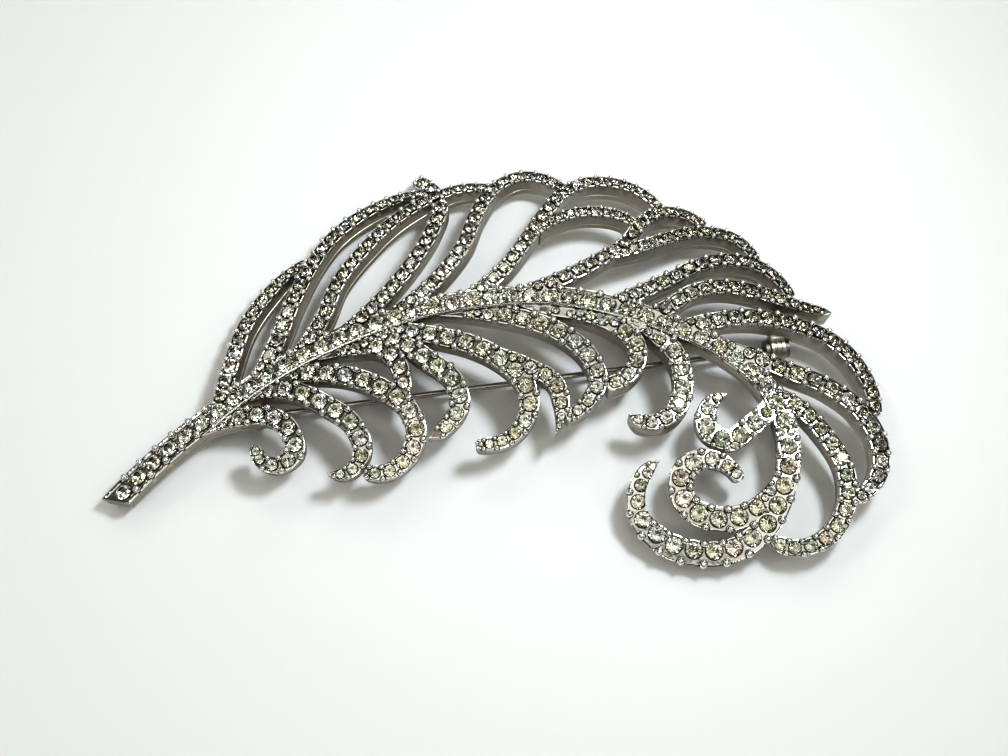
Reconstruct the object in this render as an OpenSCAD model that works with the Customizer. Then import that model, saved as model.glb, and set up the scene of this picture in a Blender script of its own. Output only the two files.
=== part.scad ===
// Feather brooch: a domed, pierced plume of cast white metal set with cut stones,
// with a hinged pin and a turning safety catch on its back.
// Millimetres. +Z is up, +X runs from the quill to the curls, and the brooch lies on its back.

/* [Dome] */
// Height of the crest of the dome over the surface that it lies on
crest_height = 8.0; // [7.5:0.1:10]
// Where the crest is highest, along the feather
crest_x = 8; // [0:1:15]
// How fast the crest falls towards the quill and the far end
fall_along = 0.0016; // [0.0005:0.0001:0.0018]
// How fast the dome falls on both sides of the crest
fall_across = 0.0068; // [0.003:0.0001:0.007]
// Slope of the whole dome towards the upper barbs
lean = 0.07; // [0:0.01:0.08]

/* [Casting] */
// Width of the metal border on each side of a row of stones
border = 0.25; // [0.2:0.01:0.35]
// Depth of the channel that holds the stones
channel_depth = 1.1; // [1:0.05:1.3]
// Width of a barb's foot as a share of its top
draft = 0.88; // [0.7:0.01:1]
// Width of the raised ridge below the main row
ridge_width = 0.6; // [0.4:0.05:0.7]
// Height of the ridge over the border
ridge_rise = 0.25; // [0.1:0.05:0.4]

/* [Stones] */
// Widest stone
widest_stone = 2.15; // [1.8:0.05:2.2]
// Finest stone that is modelled here
finest_stone = 1.57; // [1:0.01:1.8]
// Metal left between two stones of a row
stone_gap = 0.45; // [0.3:0.05:0.8]
// Clearance between a stone and the channel
stone_play = 0.06; // [0.05:0.01:0.1]
// Height of a stone's crown as a share of its width
crown_share = 0.2; // [0.15:0.01:0.25]
// Depth of a stone's point as a share of its width
point_share = 0.4; // [0.3:0.01:0.42]

/* [Pin] */
// Diameter of the pin
pin_d = 0.8; // [0.7:0.05:0.9]
// Height of the pin's axis
pin_height = 1.75; // [1.7:0.05:1.8]
// Diameter of the hinge rivet
rivet_d = 0.76; // [0.7:0.02:0.8]
// Outside diameter of the pin's eye
eye_d = 2.2; // [2:0.1:2.4]
// Width of the pin's eye
eye_width = 1.1; // [1:0.1:1.2]

/* [Catch] */
// Outside diameter of the catch ring
catch_d = 3.4; // [3.3:0.05:3.45]
// Length of the catch ring
catch_length = 2.0; // [1.6:0.1:2.4]
// Outside diameter of the rotor inside the ring
rotor_d = 1.96; // [1.9:0.02:2]
// Width of the slot that the pin goes in by
slot_width = 1.0; // [1:0.05:1.05]
// Reach of the rotor's lever from its axis
lever_reach = 2.8; // [2.4:0.1:3]

/* [Hidden] */

// Columns of a row: route of the centre line [x, y], widths at root, belly and tip, depth of the metal,
// and for the quill how far its cut end is turned from square and its depth there
ROUTE = 0;
WIDTHS = 1;
DEPTH = 2;
SLANT = 3;
ROOT_DEPTH = 4;

// The quill and the main row of the feather, from the cut end to the curl
STEM =
    [[[-49.6, -16.6], [-44.1, -10.7], [-37, -4.8], [-30.5, 0], [-22, 4.5], [-12, 8.2], [-3, 9.8], [7, 10.1],
      [15, 8.6], [22, 6], [28, 3], [32.5, -0.6], [35.2, -5], [36.2, -9.5]], [3.7, 3.1, 3.0], 2.6, 25, 1.7];

// The main curl, the small curl inside it and the hook beside it
CURLS = [
    [[[35.6, -6.5], [36.2, -11], [35.2, -16], [32.5, -20.8], [28.8, -23.2], [24, -23.5], [19.5, -21.8],
      [16.8, -18.6], [17.1, -15], [19.8, -12.2]], [3.0, 3.1, 1.7], 2.0],
    [[[34.9, -14.4], [32.3, -17.8], [29.5, -19.3], [25.9, -19.3], [22.9, -17.4], [22.5, -14.1],
      [24.9, -12.2], [27.8, -12.6], [29.8, -14.9]], [1.8, 3.1, 1.6], 2.2],
    [[[34.8, -4.6], [31.6, -7.8], [28.4, -9.7], [26, -8.3], [26.1, -5.6], [28.6, -3.7]],
     [2.6, 2.9, 1.5], 2.4]
];

// Barbs below the ridge, from the quill to the curls
LOWER = [
    [[[-39.6, -7.5], [-34.5, -6.1], [-30.2, -6.1], [-27.3, -8.4], [-26.8, -11.3], [-29, -12.7],
      [-31.2, -11.8], [-31.8, -10]], [2.2, 2.6, 1.5], 2.1],
    [[[-34.3, -3], [-28.5, -2.4], [-23, -4.8], [-19.2, -7.8], [-18.1, -11.4], [-19.6, -13.5],
      [-22.5, -13.7]], [2.4, 2.7, 1.4], 2.4],
    [[[-31.4, -0.9], [-26, -0.3], [-21.4, -0.6], [-16, -2.6], [-12.2, -5.7], [-11.2, -9], [-12.7, -12.2],
      [-15.3, -13.7], [-17.8, -13.4]], [2.4, 2.7, 1.8], 2.4],
    [[[-24.5, 2.6], [-20.2, 3.2], [-16.8, 3.2], [-14.1, 1.2], [-13.1, -1.6], [-13.1, -4.3]],
     [2.2, 2.5, 1.8], 2.6],
    [[[-16.7, 5.6], [-10, 1.2], [-6.5, -1.9], [-5.7, -5], [-7.2, -7.7], [-9.7, -9.4]],
     [1.8, 2.7, 1.8], 2.6],
    [[[-17.5, 5.9], [-9, 4.6], [-4, 3.1], [-0.4, 1.1], [2.2, -1.4], [3.3, -5], [2, -8.1], [-0.8, -9.9],
      [-3.6, -10]], [2.2, 2.7, 1.5], 2.6],
    [[[-1, 1.9], [3.5, -0.2], [6.3, -1.8], [7.4, -5], [6.6, -8.8]], [1.8, 2.4, 0.9], 2.6],
    [[[-9, 8.3], [-2.5, 7.8], [2.6, 6.8], [7.6, 4.7], [11.2, 1.2], [12.2, -1.8], [10.8, -4.6],
      [7.8, -6.6]], [1.8, 2.7, 1.8], 2.6],
    [[[2.5, 9.4], [6, 8.4], [10.4, 7.7], [14.5, 6], [17.3, 3], [16.9, 0], [13.1, -2.4]],
     [1.8, 2.6, 2], 3.15],
    [[[14.3, 8.3], [20, 4.7], [22.5, 1.6], [23.1, -2.6], [21.7, -6], [18.8, -7.4], [16, -6.2]],
     [2.0, 2.7, 1.5], 3.2]
];

// Barbs above the main row, from the quill to the far end
UPPER = [
    [[[-36.9, -4.4], [-36.3, 1.5], [-35, 8], [-32.5, 13], [-30.2, 16], [-27.4, 18.2]], [2.6, 2.1, 1.4], 2.2],
    [[[-32.2, -1], [-30.2, 5], [-28.4, 12], [-26.6, 17.4], [-23.5, 23], [-19, 26.8], [-14, 28.8],
      [-10.8, 29]], [2.7, 2.2, 1.7], 2.2],
    [[[-27.3, 2], [-24.2, 8], [-22.6, 13.5], [-19.4, 19], [-14.4, 25], [-9.5, 28.3], [-5, 29.6],
      [-1.8, 29.1]], [2.5, 2.2, 1.7], 2.4],
    [[[-21.4, 5.2], [-15.5, 11.5], [-12.1, 16.8], [-9.7, 22.4], [-9, 26.2], [-10, 29.2], [-12.8, 32.2]],
     [2.3, 2.3, 1.8], 2.0],
    [[[-14.9, 7.6], [-8.8, 13.5], [-5.5, 18.8], [-3.7, 24.6], [-1.2, 29.4], [2.4, 31.6], [5.5, 31.1],
      [8.8, 27.8]], [2.3, 2.2, 1.8], 2.6],
    [[[-5.4, 9.7], [-0.2, 14.4], [3, 19.3], [6, 24.7], [8.7, 28.6], [12, 30.5], [15.7, 30.6],
      [19.4, 28.9], [22, 25.4]], [2.3, 2.2, 1.7], 2.6],
    [[[4.4, 20.9], [8.5, 23.8], [12.5, 24.6], [15.8, 24.1], [18.3, 22.2]], [1.7, 1.9, 1.6], 2.6],
    [[[1.3, 10.3], [7.5, 12.9], [12.8, 16.1], [16.9, 19.4], [18.9, 22.7], [21.4, 24.9], [24.6, 25.3],
      [27.9, 23]], [2.3, 2.2, 1.8], 2.6],
    [[[14.5, 17.2], [19, 18.7], [22.6, 20.3], [27.7, 21.9], [32, 21.3], [34.6, 17.4]], [2.0, 2.1, 1.7], 2.6],
    [[[14.5, 9], [18.9, 11.4], [22.6, 13.5], [26, 15.6], [30.5, 17.1], [35.2, 16.5], [38.8, 11.6]],
     [2.4, 2.3, 1.7], 2.6],
    [[[18.4, 6.9], [21.8, 8.8], [25.2, 11.3], [29.5, 12.4], [34, 12], [39, 10.5], [44.4, 9.7]],
     [2.4, 2.3, 1.3], 2.6],
    [[[22.8, 5.4], [26.5, 6.6], [33.2, 7.8], [39.3, 7], [44.2, 4.8], [47.2, 0.7], [48.1, -3],
      [47.9, -5.8]], [2.4, 2.5, 2], 2.6],
    [[[28.2, 3.1], [33, 1.6], [37.3, -0.2], [42.3, -2.2], [46.1, -5.3], [48, -9.8], [47.2, -14.4],
      [44, -17.2]], [2.4, 2.6, 1.9], 2.6],
    [[[34.4, -3.4], [37.4, -4.8], [41, -8.8], [43.2, -13.5], [42.8, -18.5], [40, -22.1], [36, -23.1],
      [32.8, -21.4]], [2.4, 2.4, 1.9], 2.4]
];

// Middle of the feather's outline and its lowest point, which are brought to the origin
MIDDLE = [-1.2, 3.8];
LOWEST = -0.32;

// Steps of a curve between two points of its route
CURVE_STEPS = 6;
// Longest piece of metal between two sections, and the most that it may turn
LONGEST_STEP = 7;
MOST_TURN = 30;
// How far along a route its width swells and narrows, as shares of its length
SWELL_END = 0.3;
NARROW_START = 0.7;
// Half the stretch over which a heading is taken
NEAR = 0.1;
// Share of the width left at a rounded tip, and how long that rounding is
TIP_SHARE = 0.5;
TIP_LENGTH = 0.5;
// Length over which the metal of the quill deepens from its cut end
DEEPENING = 20;
// Least clearance between two stones of different rows
ROW_CLEARANCE = 0.14;
// Points in a ring round a bar, a channel or the ridge
RING = 4;
// How much lower a row lies than the one that it meets
STEP_DOWN = 0.07;
// How far before a section of the metal the sections of its channel and its ridge lie
SHIFT = 0.15;
// Height over the dome from which the channels are cut
CUT_FROM = 1;
// Sections of the main row before and after the ridge, its foot below the channel, and how far it stands in
RIDGE_START = 4;
RIDGE_END = 3;
RIDGE_FOOT = 0.2;
RIDGE_IN = 0.04;
// Sides of a stone, and its table's share of its width
STONE_SIDES = 8;
TABLE_SHARE = 0.56;
// How far a stone's girdle lies below the border
GIRDLE_SINK = 0.05;

// Places of the hinge and the catch on the back, and the heading of the pin
HINGE = [-32.5, -4.6];
CATCH = [36.8, 5.3];
PIN_SPAN = norm(CATCH - HINGE);
PIN_TURN = atan2((CATCH - HINGE).y, (CATCH - HINGE).x);
// How far the pin's point passes the middle of the catch
PIN_PAST = 1.9;
POINT_LENGTH = 4;
POINT_D = 0.25;
// Play of the rivet, the eye and the rotor in what holds them
PLAY = 0.06;
EAR = 0.7;
EAR_D = 2.6;
EAR_FOOT = 0.2;
EAR_GAP = eye_width + 4 * PLAY;
RIVET_HEAD = 0.35;
RIVET_HEAD_D = 1.2;
// The plate that carries the hinge: its size, the height of its top inside the barbs, and its offset
HINGE_PLATE = [2.8, 4.6, 1.1];
HINGE_PLATE_TOP = 4.2;
HINGE_PLATE_OFF = [-0.5, -0.2];
// The foot that carries the catch ring: its size and middle from the ring's axis
CATCH_FOOT = [2.0, 2.6, 1.6];
CATCH_FOOT_AT = [0, 1.75, 1.7];
COLLAR = 0.5;
COLLAR_D = 2.7;
LEVER_D = 0.8;
COLLAR_PLAY = 0.08;

METAL = "silver";
STONE = "palegoldenrod";
PIN_METAL = "gainsboro";

// The dome over the place q, and its unit normal there
function crest_line(x) = 12 - 0.0092 * (x - 5) * (x - 5);
function dome(q) = let(off = q.y - crest_line(q.x), run = q.x - crest_x)
    crest_height - fall_along * run * run - fall_across * off * off - lean * off;
function dome_normal(q) = unit([(dome(q - [NEAR, 0]) - dome(q + [NEAR, 0])) / (2 * NEAR),
    (dome(q - [0, NEAR]) - dome(q + [0, NEAR])) / (2 * NEAR), 1]);
function on_dome(q, lift) = [q.x, q.y, dome(q) + lift];

// A smooth curve through the points of a route
function unit(v) = v / norm(v);
function chord(p, i) = p[i + 1] - p[i];
function mirrored(v, axis) = let(u = unit(axis)) unit(2 * (u * v) * u - v);
function heading(p, i) = let(last = len(p) - 1)
    i == 0 ? mirrored(heading(p, 1), chord(p, 0)) :
    i == last ? mirrored(heading(p, last - 1), chord(p, last - 1)) :
    let(a = chord(p, i - 1), b = chord(p, i)) unit(unit(a) * norm(b) + unit(b) * norm(a));
function curve_point(p, i, t) = let(reach = norm(chord(p, i)) / 3, u = 1 - t,
    b = p[i] + reach * heading(p, i), c = p[i + 1] - reach * heading(p, i + 1))
    p[i] * u * u * u + 3 * b * u * u * t + 3 * c * u * t * t + p[i + 1] * t * t * t;
function curve(p) = [
    for (i = [0:len(p) - 2]) for (k = [0:CURVE_STEPS - 1]) curve_point(p, i, k / CURVE_STEPS),
    p[len(p) - 1]
];
function distances(c) = [
    for (i = 0, s = 0; i < len(c); i = i + 1, s = i < len(c) ? s + norm(c[i] - c[i - 1]) : s) s
];

// A row laid out: tables of x and y against the distance from its root, its length, the row itself,
// a table of that distance against the number of its route's point, and how far it lies below the dome
XS = 0;
YS = 1;
LENGTH = 2;
ROW = 3;
POINTS = 4;
SINK = 5;
function laid(row, sink = 0) = let(c = curve(row[ROUTE]), s = distances(c), last = len(c) - 1) [
    [for (i = [0:last]) [s[i], c[i].x]], [for (i = [0:last]) [s[i], c[i].y]], s[last], row,
    [for (i = [0:last]) [i / CURVE_STEPS, s[i]]], sink
];
function all_laid(rows) = [for (i = [0:len(rows) - 1]) laid(rows[i], STEP_DOWN * (1 + i % 2))];
function spot(l, s) = [lookup(s, l[XS]), lookup(s, l[YS])];
function across(l, s) = let(a = unit(spot(l, s + NEAR) - spot(l, s - NEAR))) [-a.y, a.x];
function slant(l) = len(l[ROW]) > SLANT ? l[ROW][SLANT] : 0;
function depth_at(l, s) = len(l[ROW]) > ROOT_DEPTH ?
    lookup(s, [[0, l[ROW][ROOT_DEPTH]], [DEEPENING, l[ROW][DEPTH]]]) : l[ROW][DEPTH];
function cut_across(l, s) = let(a = across(l, s)) s > border ? a : a - tan(slant(l)) * [a.y, -a.x];
function width_at(l, s) = let(w = l[ROW][WIDTHS])
    lookup(s / l[LENGTH], [[0, w[0]], [SWELL_END, w[1]], [NARROW_START, w[1]], [1, w[2]]]);

// A ring round a row between two offsets from its centre line, from top down to foot
function ring(l, s, left, right, top, foot, taper = 1) = let(p = spot(l, s), a = cut_across(l, s)) [
    on_dome(p + a * left, top - l[SINK]), on_dome(p + a * right, top - l[SINK]),
    on_dome(p + a * right * taper, foot - l[SINK]), on_dome(p + a * left * taper, foot - l[SINK])
];
function turn(p, i) = acos(min(1, heading(p, i) * heading(p, i + 1)));
function span_steps(p, i) = max(ceil(norm(chord(p, i)) / LONGEST_STEP), ceil(turn(p, i) / MOST_TURN));
function stations(l) = let(p = l[ROW][ROUTE], end = l[LENGTH] - TIP_LENGTH) [
    for (i = [0:len(p) - 2]) for (n = span_steps(p, i), k = [0:n - 1])
        let(s = lookup(i + k / n, l[POINTS])) if (s < end - TIP_LENGTH) s,
    end
];

// A closed solid through rings of four points
function swept_faces(n) = [
    [0, 1, 2, 3],
    for (i = [0:n - 2]) for (k = [0:RING - 1])
        let(a = i * RING + k, b = i * RING + (k + 1) % RING)
            each [[a, a + RING, b + RING], [a, b + RING, b]],
    [for (k = [RING - 1:-1:0]) (n - 1) * RING + k]
];
module swept(rings) {
    polyhedron([for (r = rings) each r], swept_faces(len(rings)));
}

// The metal of one row, with a rounded tip
module bar(l) {
    tip = width_at(l, l[LENGTH]) * TIP_SHARE / 2;
    swept([
        for (s = stations(l)) let(half = width_at(l, s) / 2) ring(l, s, half, -half, 0, -depth_at(l, s), draft),
        ring(l, l[LENGTH], tip, -tip, 0, -l[ROW][DEPTH], draft)
    ]);
}

// The channel cut along one row for its stones
module channel(l) {
    swept([
        for (s = stations(l)) let(at = max(s - SHIFT, border), half = width_at(l, at) / 2 - border)
            ring(l, at, half, -half, CUT_FROM, -channel_depth)
    ]);
}

// The raised ridge along the lower border of the main row
module ridge(l) {
    st = stations(l);
    swept([
        for (i = [RIDGE_START:len(st) - 1 - RIDGE_END]) let(at = st[i] - SHIFT, out = -width_at(l, at) / 2)
            ring(l, at, out + ridge_width, out + RIDGE_IN, ridge_rise, -channel_depth - RIDGE_FOOT)
    ]);
}

// The widths of the stones of a row follow the channel, and each stone is [x, y, width]
function stone_width(l, s) = min(widest_stone, width_at(l, s) - 2 * (border + stone_play));
function first_stone(l) = (stone_width(l, 0) / 2 + border + stone_play) / cos(slant(l));
function row_stones(l) = let(end = l[LENGTH] - TIP_LENGTH) [
    for (s = first_stone(l), d = stone_width(l, s); s < end - d / 2;
         s = s + d / 2 + stone_gap + stone_width(l, s + d) / 2, d = stone_width(l, s))
        let(p = spot(l, s)) [p.x, p.y, d]
];
function is_clear(stone, others) = len([
    for (o = others) if (norm([o.x - stone.x, o.y - stone.y]) < (o.z + stone.z) / 2 + ROW_CLEARANCE) 1
]) == 0;
function thinned(stones, kept, i = 0) = i >= len(stones) ? kept :
    thinned(stones, is_clear(stones[i], kept) ? concat(kept, [stones[i]]) : kept, i + 1);
function joined(lists) = [for (l = lists) each l];
function past(list, n) = [for (i = [n:1:len(list) - 1]) list[i]];

// A lower barb's stones stay outside the ridge
function off_stem(stone) = min([for (q = STEM_CURVE) norm(q - [stone.x, stone.y])]);
function outside_ridge(stones) = [
    for (s = stones) if (off_stem(s) > STEM[WIDTHS][1] / 2 + s.z / 2 + stone_play) s
];

STEM_CURVE = curve(STEM[ROUTE]);
STEM_LAID = laid(STEM);
CURLS_LAID = all_laid(CURLS);
LOWER_LAID = all_laid(LOWER);
UPPER_LAID = all_laid(UPPER);

STEM_STONES = row_stones(STEM_LAID);
TO_CURLS = thinned(joined([for (l = CURLS_LAID) row_stones(l)]), STEM_STONES);
TO_LOWER = thinned(outside_ridge(joined([for (l = LOWER_LAID) row_stones(l)])), TO_CURLS);
TO_UPPER = thinned(joined([for (l = UPPER_LAID) row_stones(l)]), TO_LOWER);
CURL_STONES = past(TO_CURLS, len(STEM_STONES));
LOWER_STONES = past(TO_LOWER, len(TO_CURLS));
UPPER_STONES = past(TO_UPPER, len(TO_LOWER));

// A cut stone: a table, eight crown facets and eight facets down to the point
function stone_ring(d, z) = [
    for (i = [0:STONE_SIDES - 1]) let(t = 360 * i / STONE_SIDES) [d / 2 * cos(t), d / 2 * sin(t), z]
];
function next_side(i) = (i + 1) % STONE_SIDES;
STONE_FACES = concat(
    [[for (i = [0:STONE_SIDES - 1]) i]],
    [for (i = [0:STONE_SIDES - 1]) [i, STONE_SIDES + i, STONE_SIDES + next_side(i), next_side(i)]],
    [for (i = [0:STONE_SIDES - 1]) [STONE_SIDES + next_side(i), STONE_SIDES + i, 2 * STONE_SIDES]]
);

module cut_stone(d) {
    hull() polyhedron(concat(stone_ring(d * TABLE_SHARE, d * crown_share), stone_ring(d, 0),
                             [[0, 0, -d * point_share]]), STONE_FACES);
}

// Stones of a list, each square to the dome in its channel
module set_stones(stones) {
    for (s = stones)
        if (s.z >= finest_stone) {
            q = [s.x, s.y];
            n = dome_normal(q);
            translate(on_dome(q, -GIRDLE_SINK))
                rotate([0, acos(n.z), atan2(n.y, n.x)])
                    cut_stone(s.z);
        }
}

// The whole brooch stands on the surface with its middle over the origin
module placed() {
    translate([-MIDDLE.x, -MIDDLE.y, -LOWEST]) children();
}

// What lies along the pin: X runs from the hinge to the catch, at the pin's height
module at_hinge() {
    translate([HINGE.x, HINGE.y, pin_height]) rotate(PIN_TURN) children();
}
module at_catch() {
    at_hinge() translate([PIN_SPAN, 0, 0]) children();
}
module crosswise(d, length) {
    rotate([90, 0, 0]) cylinder(h = length, d = d, center = true, $fn = 24);
}
module lengthwise(d, length) {
    rotate([0, 90, 0]) cylinder(h = length, d = d, center = true, $fn = 48);
}

module hinge_bracket() {
    at_hinge() {
        translate([HINGE_PLATE_OFF.x, HINGE_PLATE_OFF.y, HINGE_PLATE_TOP - pin_height - HINGE_PLATE.z / 2])
            cube(HINGE_PLATE, center = true);
        for (side = [-1, 1])
            translate([0, side * (EAR_GAP + EAR) / 2, 0])
                difference() {
                    hull() {
                        crosswise(EAR_D, EAR);
                        translate([HINGE_PLATE_OFF.x, 0, HINGE_PLATE_TOP - pin_height - HINGE_PLATE.z])
                            cube([HINGE_PLATE.x, EAR, EAR_FOOT], center = true);
                    }
                    crosswise(rivet_d + 2 * PLAY, 2 * EAR);
                }
    }
}

module catch_ring() {
    at_catch() difference() {
        union() {
            lengthwise(catch_d, catch_length);
            translate(CATCH_FOOT_AT) cube(CATCH_FOOT, center = true);
        }
        lengthwise(rotor_d + 2 * PLAY, 2 * catch_length);
        translate([0, 0, -catch_d / 2])
            cube([2 * catch_length, slot_width + 2 * PLAY, catch_d], center = true);
    }
}

// The casting, as one faceted solid beside which the bores of the findings stay round
module casting() {
    rows = concat([STEM_LAID], CURLS_LAID, LOWER_LAID, UPPER_LAID);
    resize([0, 0, 0]) {
        difference() {
            for (l = rows) bar(l);
            for (l = rows) channel(l);
        }
        ridge(STEM_LAID);
    }
}

// The cast frame with the hinge bracket and the catch ring soldered to its back
module feather_frame() {
    color(METAL) placed() {
        casting();
        hinge_bracket();
        catch_ring();
    }
}

module stem_stones() {
    color(STONE) placed() set_stones(STEM_STONES);
}
module curl_stones() {
    color(STONE) placed() set_stones(CURL_STONES);
}
module lower_barb_stones() {
    color(STONE) placed() set_stones(LOWER_STONES);
}
module upper_barb_stones() {
    color(STONE) placed() set_stones(UPPER_STONES);
}

// The pin: an eye round the rivet, a round wire and a tapered point
module pin_stem() {
    wire = PIN_SPAN + PIN_PAST - POINT_LENGTH;
    color(PIN_METAL) placed() at_hinge() difference() {
        union() {
            rotate([90, 0, 0]) cylinder(h = eye_width, d = eye_d, center = true, $fn = 48);
            rotate([0, 90, 0]) cylinder(h = wire, d = pin_d, $fn = 32);
            translate([wire, 0, 0]) rotate([0, 90, 0])
                cylinder(h = POINT_LENGTH, d1 = pin_d, d2 = POINT_D, $fn = 32);
        }
        rotate([90, 0, 0]) cylinder(h = 2 * eye_width, d = rivet_d + 2 * PLAY, center = true, $fn = 32);
    }
}

// The rivet through the ears of the bracket, with a head on each side
module hinge_rivet() {
    shank = EAR_GAP + 2 * EAR + 2 * PLAY;
    color(METAL) placed() at_hinge() rotate([90, 0, 0]) {
        cylinder(h = shank + 2 * RIVET_HEAD, d = rivet_d, center = true, $fn = 32);
        for (side = [-1, 1])
            translate([0, 0, side * (shank + RIVET_HEAD) / 2])
                cylinder(h = RIVET_HEAD, d = RIVET_HEAD_D, center = true, $fn = 32);
    }
}

// The rotor: a slotted sleeve with a collar on each side of the ring, and a lever
module catch_rotor() {
    reach = catch_length / 2 + COLLAR_PLAY;
    color(PIN_METAL) placed() at_catch() difference() {
        union() {
            lengthwise(rotor_d, 2 * (reach + COLLAR));
            for (side = [-1, 1])
                translate([side * (reach + COLLAR / 2), 0, 0]) lengthwise(COLLAR_D, COLLAR);
            translate([-reach - LEVER_D / 2, 0, 0]) rotate([90, 0, 0])
                cylinder(h = lever_reach, d = LEVER_D, $fn = 32);
        }
        rotate([0, 90, 0]) cylinder(h = 4 * reach, d = slot_width, center = true, $fn = 32);
        translate([0, 0, -COLLAR_D / 2]) cube([4 * reach, slot_width, COLLAR_D], center = true);
    }
}

feather_frame();
stem_stones();
curl_stones();
lower_barb_stones();
upper_barb_stones();
pin_stem();
hinge_rivet();
catch_rotor();
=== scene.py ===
"""Feather brooch: a domed, pierced plume of plated white metal set with rows of cut stones.

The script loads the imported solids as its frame, casts the plume again in fine detail over them,
sets the stones under their bead prongs, dresses the pin and its catch, and lays the brooch on a
pale sheet under soft light. The brooch's sizes are millimetres, in the frame of the part's own
source, and row_mesh() brings each finished mesh to metres in the row frame. Finishes and the studio
are in metres.
"""

import logging
import math
from bisect import bisect_right
from collections.abc import Callable
from dataclasses import dataclass, replace
from enum import Enum
from functools import cached_property

import bmesh
import bpy
from mathutils import Matrix, Vector
from mathutils.kdtree import KDTree


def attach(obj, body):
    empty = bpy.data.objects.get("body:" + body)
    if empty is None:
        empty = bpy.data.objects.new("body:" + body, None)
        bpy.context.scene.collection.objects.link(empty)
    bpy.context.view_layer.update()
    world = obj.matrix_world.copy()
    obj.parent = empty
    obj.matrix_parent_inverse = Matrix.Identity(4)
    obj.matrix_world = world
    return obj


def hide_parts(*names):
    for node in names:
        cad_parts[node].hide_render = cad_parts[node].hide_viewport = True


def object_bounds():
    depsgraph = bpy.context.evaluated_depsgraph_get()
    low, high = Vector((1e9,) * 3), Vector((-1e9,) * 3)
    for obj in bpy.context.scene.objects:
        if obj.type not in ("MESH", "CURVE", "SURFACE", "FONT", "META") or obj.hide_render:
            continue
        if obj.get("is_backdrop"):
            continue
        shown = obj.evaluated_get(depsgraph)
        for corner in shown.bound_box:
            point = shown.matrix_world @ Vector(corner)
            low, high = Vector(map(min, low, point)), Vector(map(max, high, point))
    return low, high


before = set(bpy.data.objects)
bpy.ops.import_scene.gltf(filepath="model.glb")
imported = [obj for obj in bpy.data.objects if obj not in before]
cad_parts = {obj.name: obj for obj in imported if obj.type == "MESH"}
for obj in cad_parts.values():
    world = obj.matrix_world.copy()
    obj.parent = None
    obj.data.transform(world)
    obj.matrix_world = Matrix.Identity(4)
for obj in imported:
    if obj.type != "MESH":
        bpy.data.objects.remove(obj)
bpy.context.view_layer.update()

LOG = logging.getLogger("feather_brooch")

# Middle of the outline and lowest point in the source's frame, which lie at the row frame's origin
MIDDLE = (-1.2, 3.8)
LOWEST = -0.32
MM = 0.001

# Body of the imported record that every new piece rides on
BODY = "brooch"

Profile = list[tuple[float, float]]


class Slot(Enum):
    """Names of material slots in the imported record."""

    METAL = "plated_metal"
    STONE = "pale_stone"


class Cut(Enum):
    """Ways in which one solid is worked into another."""

    JOIN = "UNION"
    TAKE = "DIFFERENCE"


# Meshes


def row_matrix() -> Matrix:
    """Return the matrix from millimetres in the source's frame to metres in the row frame."""
    return Matrix.Scale(MM, 4) @ Matrix.Translation((-MIDDLE[0], -MIDDLE[1], -LOWEST))


def row_mesh(mesh: bpy.types.Mesh) -> bpy.types.Mesh:
    """Bring a mesh to the row frame.

    Args:
        mesh: the mesh, in millimetres in the source's frame.

    Returns:
        The same mesh, in metres in the row frame.
    """
    mesh.transform(row_matrix())
    return mesh


def solid_mesh(name: str, verts: list, faces: list) -> bpy.types.Mesh:
    """Make a closed mesh with its faces pointing outwards.

    Args:
        name: name of the mesh.
        verts: corners, in millimetres.
        faces: faces as tuples of corner numbers.

    Returns:
        The new mesh.
    """
    mesh = bpy.data.meshes.new(name)
    mesh.from_pydata([tuple(v) for v in verts], [], faces)
    work = bmesh.new()
    work.from_mesh(mesh)
    bmesh.ops.recalc_face_normals(work, faces=work.faces)
    work.to_mesh(mesh)
    work.free()
    return mesh


def linked(name: str, data: bpy.types.ID) -> bpy.types.Object:
    """Put a mesh, a light or a camera into the scene as an object at the origin.

    Args:
        name: name of the object.
        data: what it shows.

    Returns:
        The new object.
    """
    obj = bpy.data.objects.new(name, data)
    bpy.context.scene.collection.objects.link(obj)
    return obj


def swept(name: str, rings: list[list[Vector]]) -> bpy.types.Mesh:
    """Make a closed bar through rings that have the same number of points.

    Args:
        name: name of the mesh.
        rings: the rings, from the first end to the last.

    Returns:
        The bar's mesh.
    """
    count = len(rings[0])
    verts = [point for ring in rings for point in ring]
    faces = [tuple(range(count))]
    for i in range(len(rings) - 1):
        for k in range(count):
            a, b = i * count + k, i * count + (k + 1) % count
            faces.append((a, b, b + count, a + count))
    faces.append(tuple((len(rings) - 1) * count + k for k in range(count)))
    return solid_mesh(name, verts, faces)


def evaluated_mesh(obj: bpy.types.Object, name: str) -> bpy.types.Mesh:
    """Turn an object's modifiers into a plain mesh.

    Args:
        obj: the object, which keeps its modifiers.
        name: name of the new mesh.

    Returns:
        A new mesh that holds the result.
    """
    bpy.context.view_layer.update()
    graph = bpy.context.evaluated_depsgraph_get()
    mesh = bpy.data.meshes.new_from_object(obj.evaluated_get(graph))
    mesh.name = name
    return mesh


def worked(name: str, base: bpy.types.Mesh, parts: list[tuple[Cut, bpy.types.Mesh]]) -> bpy.types.Mesh:
    """Join solids to a first one and cut others out of it, in order.

    Args:
        name: name of the result.
        base: the first solid.
        parts: what is joined or taken away, in order.

    Returns:
        The worked solid.
    """
    obj = linked(name + "_base", base)
    helpers = []
    for how, mesh in parts:
        tool = linked(name + "_tool", mesh)
        helpers.append(tool)
        step = obj.modifiers.new("work", "BOOLEAN")
        step.object = tool
        step.operation = how.value
        step.solver = "MANIFOLD"
    result = evaluated_mesh(obj, name)
    for helper in [obj, *helpers]:
        bpy.data.objects.remove(helper)
    return result


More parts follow.
